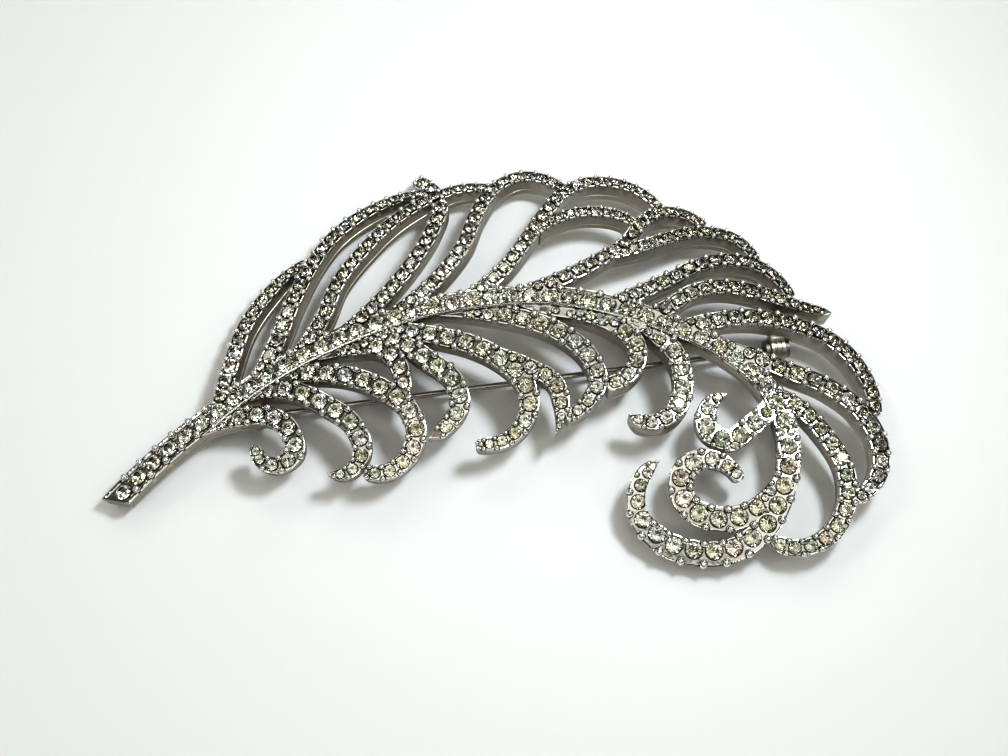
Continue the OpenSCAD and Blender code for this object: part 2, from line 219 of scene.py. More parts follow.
def smoothed(mesh: bpy.types.Mesh, degrees: float) -> bpy.types.Mesh:
    """Shade a mesh smooth except along edges sharper than an angle.

    Args:
        mesh: the mesh.
        degrees: the angle.

    Returns:
        The same mesh.
    """
    mesh.polygons.foreach_set("use_smooth", [True] * len(mesh.polygons))
    mesh.set_sharp_from_angle(angle=math.radians(degrees))
    return mesh


def circle(radius: float, count: int, level: float, shift: float = 0.0) -> list[Vector]:
    """Return points on a circle round the Z axis, the first one turned by shift."""
    turns = [2 * math.pi * k / count + shift for k in range(count)]
    return [Vector((radius * math.cos(turn), radius * math.sin(turn), level)) for turn in turns]


def turned_solids(name: str, solids: list[tuple[Matrix, Profile]], sides: int) -> bpy.types.Mesh:
    """Make one mesh of small turned solids.

    Args:
        name: name of the mesh.
        solids: the place of each, and its outline as (radius, rise) from the top down; one that
            ends in radius 0 has a point.
        sides: number of sides of each.

    Returns:
        The mesh.
    """
    verts, faces = [], []
    for place, outline in solids:
        first = len(verts)
        pointed = outline[-1][0] == 0
        rings = outline[:-1] if pointed else outline
        for radius, rise in rings:
            verts += [place @ point for point in circle(radius, sides, rise)]
        foot = first + (len(rings) - 1) * sides
        faces.append(tuple(range(first, first + sides)))
        for a in range(first, foot, sides):
            for k in range(sides):
                m = (k + 1) % sides
                faces.append((a + k, a + sides + k, a + sides + m, a + m))
        if pointed:
            verts.append(place @ Vector((0, 0, outline[-1][1])))
            faces += [(foot + k, foot + sides, foot + (k + 1) % sides) for k in range(sides)]
        else:
            faces.append(tuple(range(foot, foot + sides)))
    return solid_mesh(name, verts, faces)


def lathe(name: str, profile: Profile, sides: int) -> bpy.types.Mesh:
    """Turn a closed profile of (along, radius) round the X axis.

    Args:
        name: name of the mesh.
        profile: corners of the closed profile.
        sides: number of sides of the turned shape.

    Returns:
        The turned mesh.
    """
    count = len(profile)
    verts, faces = [], []
    for k in range(sides):
        turn = 2 * math.pi * k / sides
        verts += [(along, radius * math.cos(turn), radius * math.sin(turn)) for along, radius in profile]
        for i in range(count):
            j, m = (i + 1) % count, (k + 1) % sides
            faces.append((k * count + i, k * count + j, m * count + j, m * count + i))
    return solid_mesh(name, verts, faces)


def shaped(name: str, shape: Callable[[bmesh.types.BMesh], object]) -> bpy.types.Mesh:
    """Make a mesh by one step of work, with its faces pointing outwards.

    Args:
        name: name of the mesh.
        shape: fills the empty mesh that it is handed.

    Returns:
        The new mesh.
    """
    mesh = bpy.data.meshes.new(name)
    work = bmesh.new()
    shape(work)
    bmesh.ops.recalc_face_normals(work, faces=work.faces)
    work.to_mesh(mesh)
    work.free()
    return mesh


def block(name: str, size: tuple, middle: tuple) -> bpy.types.Mesh:
    """Make a rectangular block from its size and its middle."""
    place = Matrix.Translation(middle) @ Matrix.Diagonal((*size, 1.0))
    return shaped(name, lambda work: bmesh.ops.create_cube(work, size=1.0, matrix=place))


def rod(name: str, diameter: float, length: float, along: Vector, middle: tuple,
        sides: int) -> bpy.types.Mesh:
    """Make a round rod.

    Args:
        name: name of the mesh.
        diameter: its diameter.
        length: its length.
        along: the way it points.
        middle: its middle.
        sides: number of its sides.

    Returns:
        The rod's mesh.
    """
    place = Matrix.Translation(middle) @ along.to_track_quat("Z", "X").to_matrix().to_4x4()
    return shaped(name, lambda work: bmesh.ops.create_cone(
        work, cap_ends=True, segments=sides, radius1=diameter / 2, radius2=diameter / 2, depth=length,
        matrix=place))


def hull_of(name: str, points: list[Vector]) -> bpy.types.Mesh:
    """Make the convex solid round some points.

    Args:
        name: name of the mesh.
        points: the points.

    Returns:
        The solid's mesh.
    """
    def wrap(work: bmesh.types.BMesh) -> None:
        """Wrap the points."""
        corners = [work.verts.new(point) for point in points]
        bmesh.ops.convex_hull(work, input=corners)

    return shaped(name, wrap)


def mark(mesh: bpy.types.Mesh, name: str, kind: str, domain: str, values: list) -> None:
    """Store a value for every face or point of a mesh.

    Args:
        mesh: the mesh.
        name: name of the attribute.
        kind: its type.
        domain: whether it is for faces or for points.
        values: the values in order, with those of a vector one after another.
    """
    field = "vector" if kind == "FLOAT_VECTOR" else "value"
    mesh.attributes.new(name, kind, domain).data.foreach_set(field, values)


# The feather's own lines


@dataclass(frozen=True)
class Dome:
    """The curved surface that the plume is cast over.

    The crest line bends along the feather, and the surface falls away from it on both sides.
    """

    crest_height: float = 8.0
    crest_x: float = 8.0
    crest_y: float = 12.0
    bend: float = 0.0092
    bend_x: float = 5.0
    fall_along: float = 0.0016
    fall_across: float = 0.0068
    lean: float = 0.07
    near: float = 0.1

    def height(self, x: float, y: float) -> float:
        """Return the height of the dome over a place.

        Args:
            x: the place.
            y: the place.

        Returns:
            The height in the source's frame.
        """
        off = y - (self.crest_y - self.bend * (x - self.bend_x) ** 2)
        run = x - self.crest_x
        fall = self.fall_along * run * run
        return self.crest_height - fall - self.fall_across * off * off - self.lean * off

    def on(self, x: float, y: float, lift: float = 0.0) -> Vector:
        """Return the point of the dome over a place, raised by lift."""
        return Vector((x, y, self.height(x, y) + lift))

    def normal(self, x: float, y: float) -> Vector:
        """Return the unit normal of the dome over a place.

        Args:
            x: the place.
            y: the place.

        Returns:
            The normal, pointing up.
        """
        n = self.near
        slope_x = (self.height(x - n, y) - self.height(x + n, y)) / (2 * n)
        slope_y = (self.height(x, y - n) - self.height(x, y + n)) / (2 * n)
        return Vector((slope_x, slope_y, 1.0)).normalized()

    def seat(self, x: float, y: float, lift: float) -> Matrix:
        """Return a place over the dome, raised by lift, with Z along the dome's normal."""
        turn = self.normal(x, y).to_track_quat("Z", "X").to_matrix().to_4x4()
        return Matrix.Translation(self.on(x, y, lift)) @ turn


DOME = Dome()


def between(table: list[float], values: list[float], at: float) -> float:
    """Read a table with straight lines between its entries, and its end values outside it.

    Args:
        table: where the entries stand, rising.
        values: their values.
        at: where it is read.

    Returns:
        The value there.
    """
    if at <= table[0]:
        return values[0]
    if at >= table[-1]:
        return values[-1]
    i = bisect_right(table, at) - 1
    share = (at - table[i]) / (table[i + 1] - table[i])
    return values[i] + (values[i + 1] - values[i]) * share


def mirrored(v: Vector, axis: Vector) -> Vector:
    """Return a heading mirrored in an axis."""
    u = axis.normalized()
    return (2 * u.dot(v) * u - v).normalized()


@dataclass(frozen=True)
class Row:
    """One strip of the plume: the route of its centre line, its widths at root, belly and tip, and
    the depth of its metal.

    The quill's end is cut at a slant and is thinner. A tip tapers to a point over a length of its
    own, or is rounded where that is 0, and some are left hollow, without stones. The walls lean with
    the dome by a share. The stones of a curl stand nearer to its inner edge.
    """

    name: str
    route: tuple
    widths: tuple
    depth: float
    slant: float = 0.0
    slant_fade: float = 4.0
    root_depth: float = 0.0
    deepening: float = 20.0
    point: float = 0.0
    point_power: float = 1.7
    round_share: float = 0.42
    hollow: bool = False
    lean: float = 1.0
    inset: float = 0.0
    inset_over: tuple = (0.35, 0.5)
    sink: float = 0.0
    steps: int = 24
    swell_end: float = 0.3
    narrow_start: float = 0.7
    near: float = 0.1

    @cached_property
    def points(self) -> list[Vector]:
        """Return the route's points as vectors."""
        return [Vector(p) for p in self.route]

    def heading(self, i: int) -> Vector:
        """Return the heading of the centre line at a point of its route.

        Args:
            i: number of the point.

        Returns:
            A vector of length 1.
        """
        p, last = self.points, len(self.points) - 1
        if i == 0:
            return mirrored(self.heading(1), p[1] - p[0])
        if i == last:
            return mirrored(self.heading(last - 1), p[last] - p[last - 1])
        a, b = p[i] - p[i - 1], p[i + 1] - p[i]
        return (a.normalized() * b.length + b.normalized() * a.length).normalized()

    @cached_property
    def line(self) -> tuple[list[float], list[float], list[float]]:
        """Return the smooth centre line as distances from the root, x and y.

        Returns:
            Three lists of the same length.
        """
        p, xs, ys = self.points, [], []
        for i in range(len(p) - 1):
            reach = (p[i + 1] - p[i]).length / 3
            b, c = p[i] + reach * self.heading(i), p[i + 1] - reach * self.heading(i + 1)
            for k in range(self.steps):
                t = k / self.steps
                u = 1 - t
                q = p[i] * u**3 + 3 * b * u * u * t + 3 * c * u * t * t + p[i + 1] * t**3
                xs.append(q.x)
                ys.append(q.y)
        xs.append(p[-1].x)
        ys.append(p[-1].y)
        far = [0.0]
        for i in range(1, len(xs)):
            far.append(far[-1] + math.hypot(xs[i] - xs[i - 1], ys[i] - ys[i - 1]))
        return far, xs, ys

    @property
    def length(self) -> float:
        """Return the length of the centre line."""
        return self.line[0][-1]

    def spot(self, s: float) -> Vector:
        """Return the place on the centre line at a distance from the root."""
        far, xs, ys = self.line
        return Vector((between(far, xs, s), between(far, ys, s)))

    def across(self, s: float) -> Vector:
        """Return the direction square to the centre line, to its left."""
        a = (self.spot(s + self.near) - self.spot(s - self.near)).normalized()
        return Vector((-a.y, a.x))

    def width(self, s: float) -> float:
        """Return the strip's width at a distance from the root."""
        root, belly, tip = self.widths
        return between([0, self.swell_end, self.narrow_start, 1], [root, belly, belly, tip], s / self.length)

    def depth_at(self, s: float) -> float:
        """Return the depth of the metal at a distance from the root."""
        return between([0, self.deepening], [self.root_depth or self.depth, self.depth], s)

    def seat_spot(self, s: float) -> Vector:
        """Return the place of a stone at a distance from the root."""
        share = between([at * self.length for at in self.inset_over], [0, 1], s)
        return self.spot(s) + self.inset * share * self.across(s)

    @property
    def reach(self) -> float:
        """Return the length over which the tip closes."""
        return self.point or self.width(self.length) * self.round_share

    def half(self, s: float) -> float:
        """Return half of the metal's width at a distance from the root, closing at the tip.

        Args:
            s: distance from the root.

        Returns:
            Half of the width.
        """
        past = min(1.0, max(0.0, s - (self.length - self.reach)) / self.reach)
        left = 1 - past**self.point_power if self.point else math.sqrt(1 - past * past)
        return self.width(s) / 2 * left

    def ring(self, s: float, outline: Profile) -> list[Vector]:
        """Place a section's outline square to the row and to the dome.

        Args:
            s: distance from the root.
            outline: pairs of offset to the left and height over the dome.

        Returns:
            The section's points.
        """
        spot, a = self.spot(s), self.across(s)
        slant = math.tan(math.radians(self.slant)) * max(0.0, 1 - s / self.slant_fade)
        a = a - slant * Vector((a.y, -a.x))
        points = []
        for off, z in outline:
            x, y = spot.x + a.x * off, spot.y + a.y * off
            way = Vector((0, 0, 1)).lerp(DOME.normal(x, y), self.lean)
            points.append(DOME.on(x, y) + way * (z - self.sink))
        return points


# Columns: name, route of the centre line, widths at root, belly and tip, depth of the metal
STEM = Row(
    "stem",
    ((-49.6, -16.6), (-44.1, -10.7), (-37, -4.8), (-30.5, 0), (-22, 4.5), (-12, 8.2), (-3, 9.8), (7, 10.1),
     (15, 8.6), (22, 6), (28, 3), (32.5, -0.6), (35.2, -5), (36.2, -9.5)),
    (3.7, 3.1, 3.0), 2.6, slant=25, root_depth=1.7,
)
CURLS = (
    Row("main_curl",
        ((35.6, -6.5), (36.2, -11), (35.2, -16), (32.5, -20.8), (28.8, -23.2), (24, -23.5), (19.5, -21.8),
         (16.8, -18.6), (17.1, -15), (19.8, -12.2)), (3.0, 3.1, 1.7), 2.0, point=2.4, inset=-0.3),
    Row("small_curl",
        ((34.9, -14.4), (32.3, -17.8), (29.5, -19.3), (25.9, -19.3), (22.9, -17.4), (22.5, -14.1),
         (24.9, -12.2), (27.8, -12.6), (29.8, -14.9)), (1.8, 3.1, 1.6), 2.2),
    Row("hook",
        ((34.8, -4.6), (31.6, -7.8), (28.4, -9.7), (26, -8.3), (26.1, -5.6), (28.6, -3.7)),
        (2.6, 2.9, 1.5), 2.4, point=2.2),
)
LOWER = (
    Row("lower_barb_1",
        ((-39.6, -7.5), (-34.5, -6.1), (-30.2, -6.1), (-27.3, -8.4), (-26.8, -11.3), (-29, -12.7),
         (-31.2, -11.8), (-31.8, -10)), (2.2, 2.6, 1.5), 2.1),
    Row("lower_barb_2",
        ((-34.3, -3), (-28.5, -2.4), (-23, -4.8), (-19.2, -7.8), (-18.1, -11.4), (-19.6, -13.5),
         (-22.5, -13.7)), (2.4, 2.7, 1.4), 2.4, point=2.6, lean=0.7),
    Row("lower_barb_3",
        ((-31.4, -0.9), (-26, -0.3), (-21.4, -0.6), (-16, -2.6), (-12.2, -5.7), (-11.2, -9),
         (-12.7, -12.2), (-15.3, -13.7), (-17.8, -13.4)), (2.4, 2.7, 1.8), 2.4, lean=0.5),
    Row("lower_barb_4",
        ((-24.5, 2.6), (-20.2, 3.2), (-16.8, 3.2), (-14.1, 1.2), (-13.1, -1.6), (-13.1, -4.3)),
        (2.2, 2.5, 1.8), 2.6),
    Row("lower_barb_5",
        ((-16.7, 5.6), (-10, 1.2), (-6.5, -1.9), (-5.7, -5), (-7.2, -7.7), (-9.7, -9.4)),
        (1.8, 2.7, 1.8), 2.6, point=2.4, hollow=True),
    Row("lower_barb_6",
        ((-17.5, 5.9), (-9, 4.6), (-4, 3.1), (-0.4, 1.1), (2.2, -1.4), (3.3, -5), (2, -8.1), (-0.8, -9.9),
         (-3.6, -10)), (2.2, 2.7, 1.5), 2.6, lean=0.4),
    Row("lower_barb_7",
        ((-1, 1.9), (3.5, -0.2), (6.3, -1.8), (7.4, -5), (6.6, -8.8)), (1.8, 2.4, 0.9), 2.6, point=2.8,
        hollow=True, lean=0.6),
    Row("lower_barb_8",
        ((-9, 8.3), (-2.5, 7.8), (2.6, 6.8), (7.6, 4.7), (11.2, 1.2), (12.2, -1.8), (10.8, -4.6),
         (7.8, -6.6)), (1.8, 2.7, 1.8), 2.6, lean=0.2),
    Row("lower_barb_9",
        ((2.5, 9.4), (6, 8.4), (10.4, 7.7), (14.5, 6), (17.3, 3), (16.9, 0), (13.1, -2.4)),
        (1.8, 2.6, 2), 3.15, lean=0.0),
    Row("lower_barb_10",
        ((14.3, 8.3), (20, 4.7), (22.5, 1.6), (23.1, -2.6), (21.7, -6), (18.8, -7.4), (16, -6.2)),
        (2.0, 2.7, 1.5), 3.2, point=1.8, hollow=True, lean=0.0),
)
UPPER = (
    Row("upper_barb_1",
        ((-36.9, -4.4), (-36.3, 1.5), (-35, 8), (-32.5, 13), (-30.2, 16), (-27.4, 18.2)),
        (2.6, 2.4, 1.4), 2.2),
    Row("upper_barb_2",
        ((-32.2, -1), (-30.2, 5), (-28.4, 12), (-26.6, 17.4), (-23.5, 23), (-19, 26.8), (-14, 28.8),
         (-10.8, 29)), (2.7, 2.45, 1.8), 2.2),
    Row("upper_barb_3",
        ((-27.3, 2), (-24.2, 8), (-22.6, 13.5), (-19.4, 19), (-14.4, 25), (-9.5, 28.3), (-5, 29.6),
         (-1.8, 29.1)), (2.5, 2.2, 1.7), 2.4),
    Row("upper_barb_4",
        ((-21.4, 5.2), (-15.5, 11.5), (-12.1, 16.8), (-9.7, 22.4), (-9, 26.2), (-10, 29.2), (-12.8, 32.2)),
        (2.3, 2.3, 2.3), 2.0),
    Row("upper_barb_5",
        ((-14.9, 7.6), (-8.8, 13.5), (-5.5, 18.8), (-3.7, 24.6), (-1.2, 29.4), (2.4, 31.6), (5.5, 31.1),
         (8.8, 27.8)), (2.3, 2.2, 1.8), 2.6),
    Row("upper_barb_6",
        ((-5.4, 9.7), (-0.2, 14.4), (3, 19.3), (6, 24.7), (8.7, 28.6), (12, 30.5), (15.7, 30.6),
         (19.4, 28.9), (22, 25.4)), (2.3, 2.2, 1.7), 2.6),
    Row("upper_barb_7", ((4.4, 20.9), (8.5, 23.8), (12.5, 24.6), (15.8, 24.1), (18.3, 22.2)),
        (1.7, 1.9, 1.6), 2.6),
    Row("upper_barb_8",
        ((1.3, 10.3), (7.5, 12.9), (12.8, 16.1), (16.9, 19.4), (18.9, 22.7), (21.4, 24.9), (24.6, 25.3),
         (27.9, 23)), (2.3, 2.2, 1.8), 2.6),
    Row("upper_barb_9",
        ((14.5, 17.2), (19, 18.7), (22.6, 20.3), (27.7, 21.9), (32, 21.3), (34.6, 17.4)),
        (2.0, 2.1, 1.7), 2.6),
    Row("upper_barb_10",
        ((14.5, 9), (18.9, 11.4), (22.6, 13.5), (26, 15.6), (30.5, 17.1), (35.2, 16.5), (38.8, 11.6)),
        (2.4, 2.3, 1.7), 2.6),
    Row("upper_barb_11",
        ((18.4, 6.9), (21.8, 8.8), (25.2, 11.3), (29.5, 12.4), (34, 12), (39, 10.5), (44.4, 9.7)),
        (2.4, 2.3, 1.3), 2.6, point=1.6, hollow=True),
    Row("upper_barb_12",
        ((22.8, 5.4), (26.5, 6.6), (33.2, 7.8), (39.3, 7), (44.2, 4.8), (47.2, 0.7), (48.1, -3),
         (47.9, -5.8)), (2.4, 2.5, 2), 2.6),
    Row("upper_barb_13",
        ((28.2, 3.1), (33, 1.6), (37.3, -0.2), (42.3, -2.2), (46.1, -5.3), (48, -9.8), (47.2, -14.4),
         (44, -17.2)), (2.4, 2.6, 1.9), 2.6),
    Row("upper_barb_14",
        ((34.4, -3.4), (37.4, -4.8), (41, -8.8), (43.2, -13.5), (42.8, -18.5), (40, -22.1),
         (36, -23.1), (32.8, -21.4)), (2.4, 2.4, 1.9), 2.4, point=2.4),
)


# Where the stones stand


@dataclass(frozen=True)
class Setting:
    """A place for a stone: where it stands, its width, and how far along its row it is."""

    x: float
    y: float
    width: float
    along: float

    def off(self, x: float, y: float) -> float:
        """Return the distance from the stone's middle to a place."""
        return math.hypot(self.x - x, self.y - y)


@dataclass(frozen=True)
class Bead:
    """A place for a bead prong: where it stands, its radius, and how far its row is sunk."""

    x: float
    y: float
    radius: float
    sink: float


@dataclass(frozen=True)
class StonePlan:
    """Which stones each row holds, by the rule of the part's own source."""

    border: float = 0.25
    play: float = 0.06
    widest: float = 2.15
    gap: float = 0.45
    tip: float = 0.5
    clearance: float = 0.14
    fine: tuple = (1.7, 1.5, 1.3, 1.15, 1.0, 0.85)
    fine_step: float = 0.08
    fine_offs: tuple = (0.0, 0.25, -0.25, 0.5, -0.5, 0.75, -0.75)
    fine_clearance: float = 0.1
    fine_tip: float = 0.3
    fine_border: float = 0.2
    fine_ahead: float = 0.35
    hollow_share: float = 0.8

    def stone_width(self, row: Row, s: float) -> float:
        """Return the width of a stone at a distance along a row."""
        return min(self.widest, row.width(s) - 2 * (self.border + self.play))

    def in_row(self, row: Row) -> list[Setting]:
        """Return the stones that fit along a row.

        Args:
            row: the row.

        Returns:
            Its stones from root to tip, before those of other rows are looked at.
        """
        found = []
        s = (self.stone_width(row, 0) / 2 + self.border + self.play) / math.cos(math.radians(row.slant))
        d = self.stone_width(row, s)
        while s < row.length - self.tip - d / 2:
            spot = row.seat_spot(s)
            found.append(Setting(spot.x, spot.y, d, s))
            s += d / 2 + self.gap + self.stone_width(row, s + d) / 2
            d = self.stone_width(row, s)
        return found

    def outside_ridge(self, stone: Setting) -> bool:
        """Tell whether a lower barb's stone stays clear of the ridge.

        Args:
            stone: the stone.

        Returns:
            Whether it does.
        """
        _, xs, ys = STEM.line
        least = min(stone.off(x, y) for x, y in zip(xs, ys))
        return least > STEM.widths[1] / 2 + stone.width / 2 + self.play

    def clear(self, stone: Setting, kept: list[Setting], gap: float) -> bool:
        """Tell whether a stone stays clear of those that are kept, by a gap."""
        return all(k.off(stone.x, stone.y) >= (k.width + stone.width) / 2 + gap for k in kept)

    def laid_out(self) -> dict[str, list[Setting]]:
        """Return the stones of every row by the row's name.

        Returns:
            The stones of each row from root to tip.
        """
        kept: list[Setting] = []
        plan: dict[str, list[Setting]] = {}
        for group in Group:
            for row in group.rows:
                plan[row.name] = []
                for stone in self.in_row(row):
                    if group is Group.LOWER and not self.outside_ridge(stone):
                        continue
                    if group is Group.STEM or self.clear(stone, kept, self.clearance):
                        kept.append(stone)
                        plan[row.name].append(stone)
        for group in Group:
            for row in group.rows:
                self.fill(row, group is Group.LOWER, plan[row.name], kept)
        return plan

    def fill(self, row: Row, below: bool, own: list[Setting], kept: list[Setting]) -> None:
        """Add fine stones wherever a row is still bare.

        Args:
            row: the row.
            below: whether it is a lower barb, which stops at the ridge.
            own: its stones, which the fine ones join.
            kept: the stones of all rows.
        """
        bare = self.hollow_share * row.point if row.hollow else self.fine_tip
        for fine in self.fine:
            s = fine / 2 + self.border + self.play
            while s < row.length - bare - fine / 2:
                room = row.half(s + self.fine_ahead * fine) - fine / 2 - self.fine_border
                for off in (o for o in self.fine_offs if abs(o) <= room):
                    spot = row.seat_spot(s) + off * row.across(s)
                    stone = Setting(spot.x, spot.y, fine, s)
                    if below and not self.outside_ridge(stone):
                        continue
                    if self.clear(stone, kept, self.fine_clearance):
                        own.append(stone)
                        kept.append(stone)
                        break
                s += self.fine_step
        own.sort(key=lambda stone: stone.along)


def stepped(rows: tuple, step: float = 0.07) -> tuple:
    """Lower each row a little under the one that it meets, so that no two tops are level."""
    return tuple(replace(row, sink=step * (1 + i % 2)) for i, row in enumerate(rows))


class Group(Enum):
    """The four fields of stones, each with its rows and the solid that it stands for."""

    STEM = ("stem_stones", (STEM,))
    CURLS = ("curl_stones", stepped(CURLS))
    LOWER = ("lower_barb_stones", stepped(LOWER))
    UPPER = ("upper_barb_stones", stepped(UPPER))

    @property
    def node(self) -> str:
        """Return the name of the solid that the field stands for."""
        return self.value[0]

    @property
    def rows(self) -> tuple:
        """Return the field's rows."""
        return self.value[1]


# The casting

# Spacing of the sections along a row, the bare metal beside its stones, and how deep those sit
PITCH = 0.55
BORDER = 0.22
STONE_SINK = 0.05


@dataclass(frozen=True)
class Bars:
    """The cast bars, one for each row: a soft top edge, and a fine raised line on the walls."""

    draft: float = 0.88
    tip_turns: tuple = (12, 24, 38, 54, 68, 80, 88)
    least_half: float = 0.01
    edge: float = 0.13
    edge_share: float = 0.45
    edge_in: float = 0.32
    edge_down: float = 0.28
    line: float = 0.05
    line_share: float = 0.2
    line_at: float = 0.66

    def stations(self, row: Row) -> list[float]:
        """Return the distances along a row at which its bar has a section, closer round its tip.

        Args:
            row: the row.

        Returns:
            The distances from root to tip.
        """
        straight = row.length - row.reach
        count = max(2, round(straight / PITCH))
        body = [straight * i / count for i in range(count + 1)]
        return body + [straight + row.reach * math.sin(math.radians(a)) for a in self.tip_turns]

    def section(self, row: Row, s: float) -> Profile:
        """Return the outline of a bar's section, from its left edge over the foot to its right edge.

        Args:
            row: the row.
            s: distance from the row's root.

        Returns:
            Pairs of offset to the left and height over the dome.
        """
        half, deep = max(self.least_half, row.half(s)), row.depth_at(s)
        e, out = min(self.edge, half * self.edge_share), min(self.line, half * self.line_share)
        line = -deep * self.line_at

        def side(z: float) -> float:
            """Return half of the drafted width at a height."""
            return half * (1 - (1 - self.draft) * -z / deep)

        left = [
            (half - e, 0.0),
            (half - e * self.edge_in, -e * self.edge_down),
            (half, -e),
            (side(line), line),
            (side(line) + out, line - out),
            (side(line) + out, line - 2 * out),
            (side(line - 3 * out), line - 3 * out),
            (side(-deep + e / 2), -deep + e / 2),
            (side(-deep) - e / 2, -deep),
        ]
        return left + [(-a, z) for a, z in reversed(left)]

    def mesh(self, row: Row) -> bpy.types.Mesh:
        """Make the metal of one row."""
        return swept(row.name + "_bar", [row.ring(s, self.section(row, s)) for s in self.stations(row)])


@dataclass(frozen=True)
class Channels:
    """The shallow channels under the stones, rounded where they start and deeper at pointed tips."""

    depth: float = 0.24
    above: float = 0.8
    draft: float = 0.96
    lead: float = 0.16
    least_half: float = 0.07
    end_step: float = 0.03
    first_steps: tuple = (0.0, 0.03, 0.12, 0.26)
    rounding: float = 0.45
    opening: float = 0.02
    fewest: int = 4
    tip_depth: float = 0.3
    tip_from: float = 2.6
    tip_over: float = 2.0

    def end(self, row: Row) -> float:
        """Return how far along a row there is room for the channel.

        Args:
            row: the row.

        Returns:
            The distance from its root.
        """
        s = row.length
        while row.half(s) < BORDER + self.least_half:
            s -= self.end_step
        return s

    def tool(self, row: Row, stones: list[Setting]) -> bpy.types.Mesh:
        """Make the tool that cuts the channel under a row's stones.

        Args:
            row: the row.
            stones: the row's stones.

        Returns:
            The tool's mesh.
        """
        square = row.slant > 0
        start = BORDER if square else stones[0].along - stones[0].width / 2 - self.lead
        run = self.end(row) - start - self.rounding
        count = max(self.fewest, round(run / PITCH))
        places = [start + step for step in self.first_steps]
        places += [start + self.rounding + run * i / count for i in range(count + 1)]
        rings = []
        for s in places:
            close = 1.0 if square else min(1.0, (s - start) / self.rounding + self.opening)
            half = (row.half(s) - BORDER) * math.sqrt(1 - (1 - close) ** 2)
            into_tip = min(1.0, max(0.0, s - row.length + self.tip_from) / self.tip_over)
            floor = self.depth + (self.tip_depth * into_tip if row.point else 0.0)
            foot = half * self.draft
            rings.append(row.ring(s, [(half, self.above), (foot, -floor), (-foot, -floor),
                                      (-half, self.above)]))
        return swept(row.name + "_channel", rings)


@dataclass(frozen=True)
class Seats:
    """The cones that are drilled under the stones."""

    play: float = 0.12
    above: float = 0.6
    step: float = 0.4
    point: float = 0.4
    sides: int = 16
    wall: float = 0.02
    wall_top: float = 0.05
    wall_foot: float = 1.8

    def tool(self, stones: list[Setting]) -> bpy.types.Mesh:
        """Make the tool that drills a cone under each stone.

        Args:
            stones: the stones.

        Returns:
            One mesh with all the cones.
        """
        cones = []
        for stone in stones:
            radius = stone.width / 2 + self.play
            foot = stone.width * self.point + self.step
            outline = [(radius, self.above), (radius, -self.step), (0, -foot)]
            cones.append((DOME.seat(stone.x, stone.y, -STONE_SINK), outline))
        return turned_solids("seats", cones, self.sides)

    def wall_at(self, stone: Setting, away: float, under: float) -> bool:
        """Tell whether the wall of a stone's seat lies at a distance from it and under the dome."""
        return away < stone.width / 2 + self.play + self.wall and self.wall_top < under < self.wall_foot


@dataclass(frozen=True)
class Dimples:
    """The small dimples that are sunk round the bead prongs."""

    play: float = 0.09
    flare: float = 0.04
    above: float = 0.4
    knee: float = 0.22
    depth: float = 0.46
    foot_share: float = 0.7
    sides: int = 10
    wall: float = 0.05
    wall_top: float = 0.02
    wall_foot: float = 0.6

    def tool(self, beads: list[Bead]) -> bpy.types.Mesh:
        """Make the tool that sinks a short cone round each bead.

        Args:
            beads: the bead prongs.

        Returns:
            One mesh with all the cones.
        """
        cones = []
        for bead in beads:
            outer = bead.radius + self.play
            outline = [(outer + self.flare, self.above), (outer, -self.knee),
                       (bead.radius * self.foot_share, -self.depth)]
            cones.append((DOME.seat(bead.x, bead.y, -bead.sink), outline))
        return turned_solids("dimples", cones, self.sides)

    def wall_at(self, bead: Bead, away: float, under: float) -> bool:
        """Tell whether the wall of a bead's dimple lies at a distance from it and under the dome."""
        return away < bead.radius + self.play + self.wall and self.wall_top < under < self.wall_foot


@dataclass(frozen=True)
class Ridge:
    """The raised line along the lower border of the main row, which fades out at both ends."""

    first_point: int = 2
    last_point: int = 12
    lead: float = 2.0
    inset: float = 0.04
    width: float = 0.42
    rise: float = 0.26
    least: float = 0.12
    root: float = 0.5
    fade: float = 4.0
    shape: tuple = ((1.0, 0.25), (0.8, 0.8), (0.5, 1.0), (0.2, 0.8), (0.0, 0.25))

    def mesh(self) -> bpy.types.Mesh:
        """Make the ridge, with its root inside the main row.

        Returns:
            The ridge's mesh.
        """
        far = STEM.line[0]
        start = far[self.first_point * STEM.steps] - self.lead
        end = far[self.last_point * STEM.steps]
        count = round((end - start) / PITCH)
        rings = []
        for i in range(count + 1):
            s = start + (end - start) * i / count
            out = self.inset - STEM.width(s) / 2
            fade = min(1.0, (s - start) / self.fade, (end - s) / self.fade)
            rise = self.rise * (self.least + (1 - self.least) * fade * (2 - fade))
            top = [(out + self.width * across, rise * up) for across, up in self.shape]
            rings.append(STEM.ring(s, [(out + self.width, -self.root), *top, (out, -self.root)]))
        return swept("ridge", rings)


def nearest_of(places: list) -> KDTree:
    """Return a search tree over the places of some stones or beads.

    Args:
        places: the stones or beads.

    Returns:
        The tree, which gives their numbers in the list.
    """
    tree = KDTree(len(places))
    for i, place in enumerate(places):
        tree.insert((place.x, place.y, 0.0), i)
    tree.balance()
    return tree


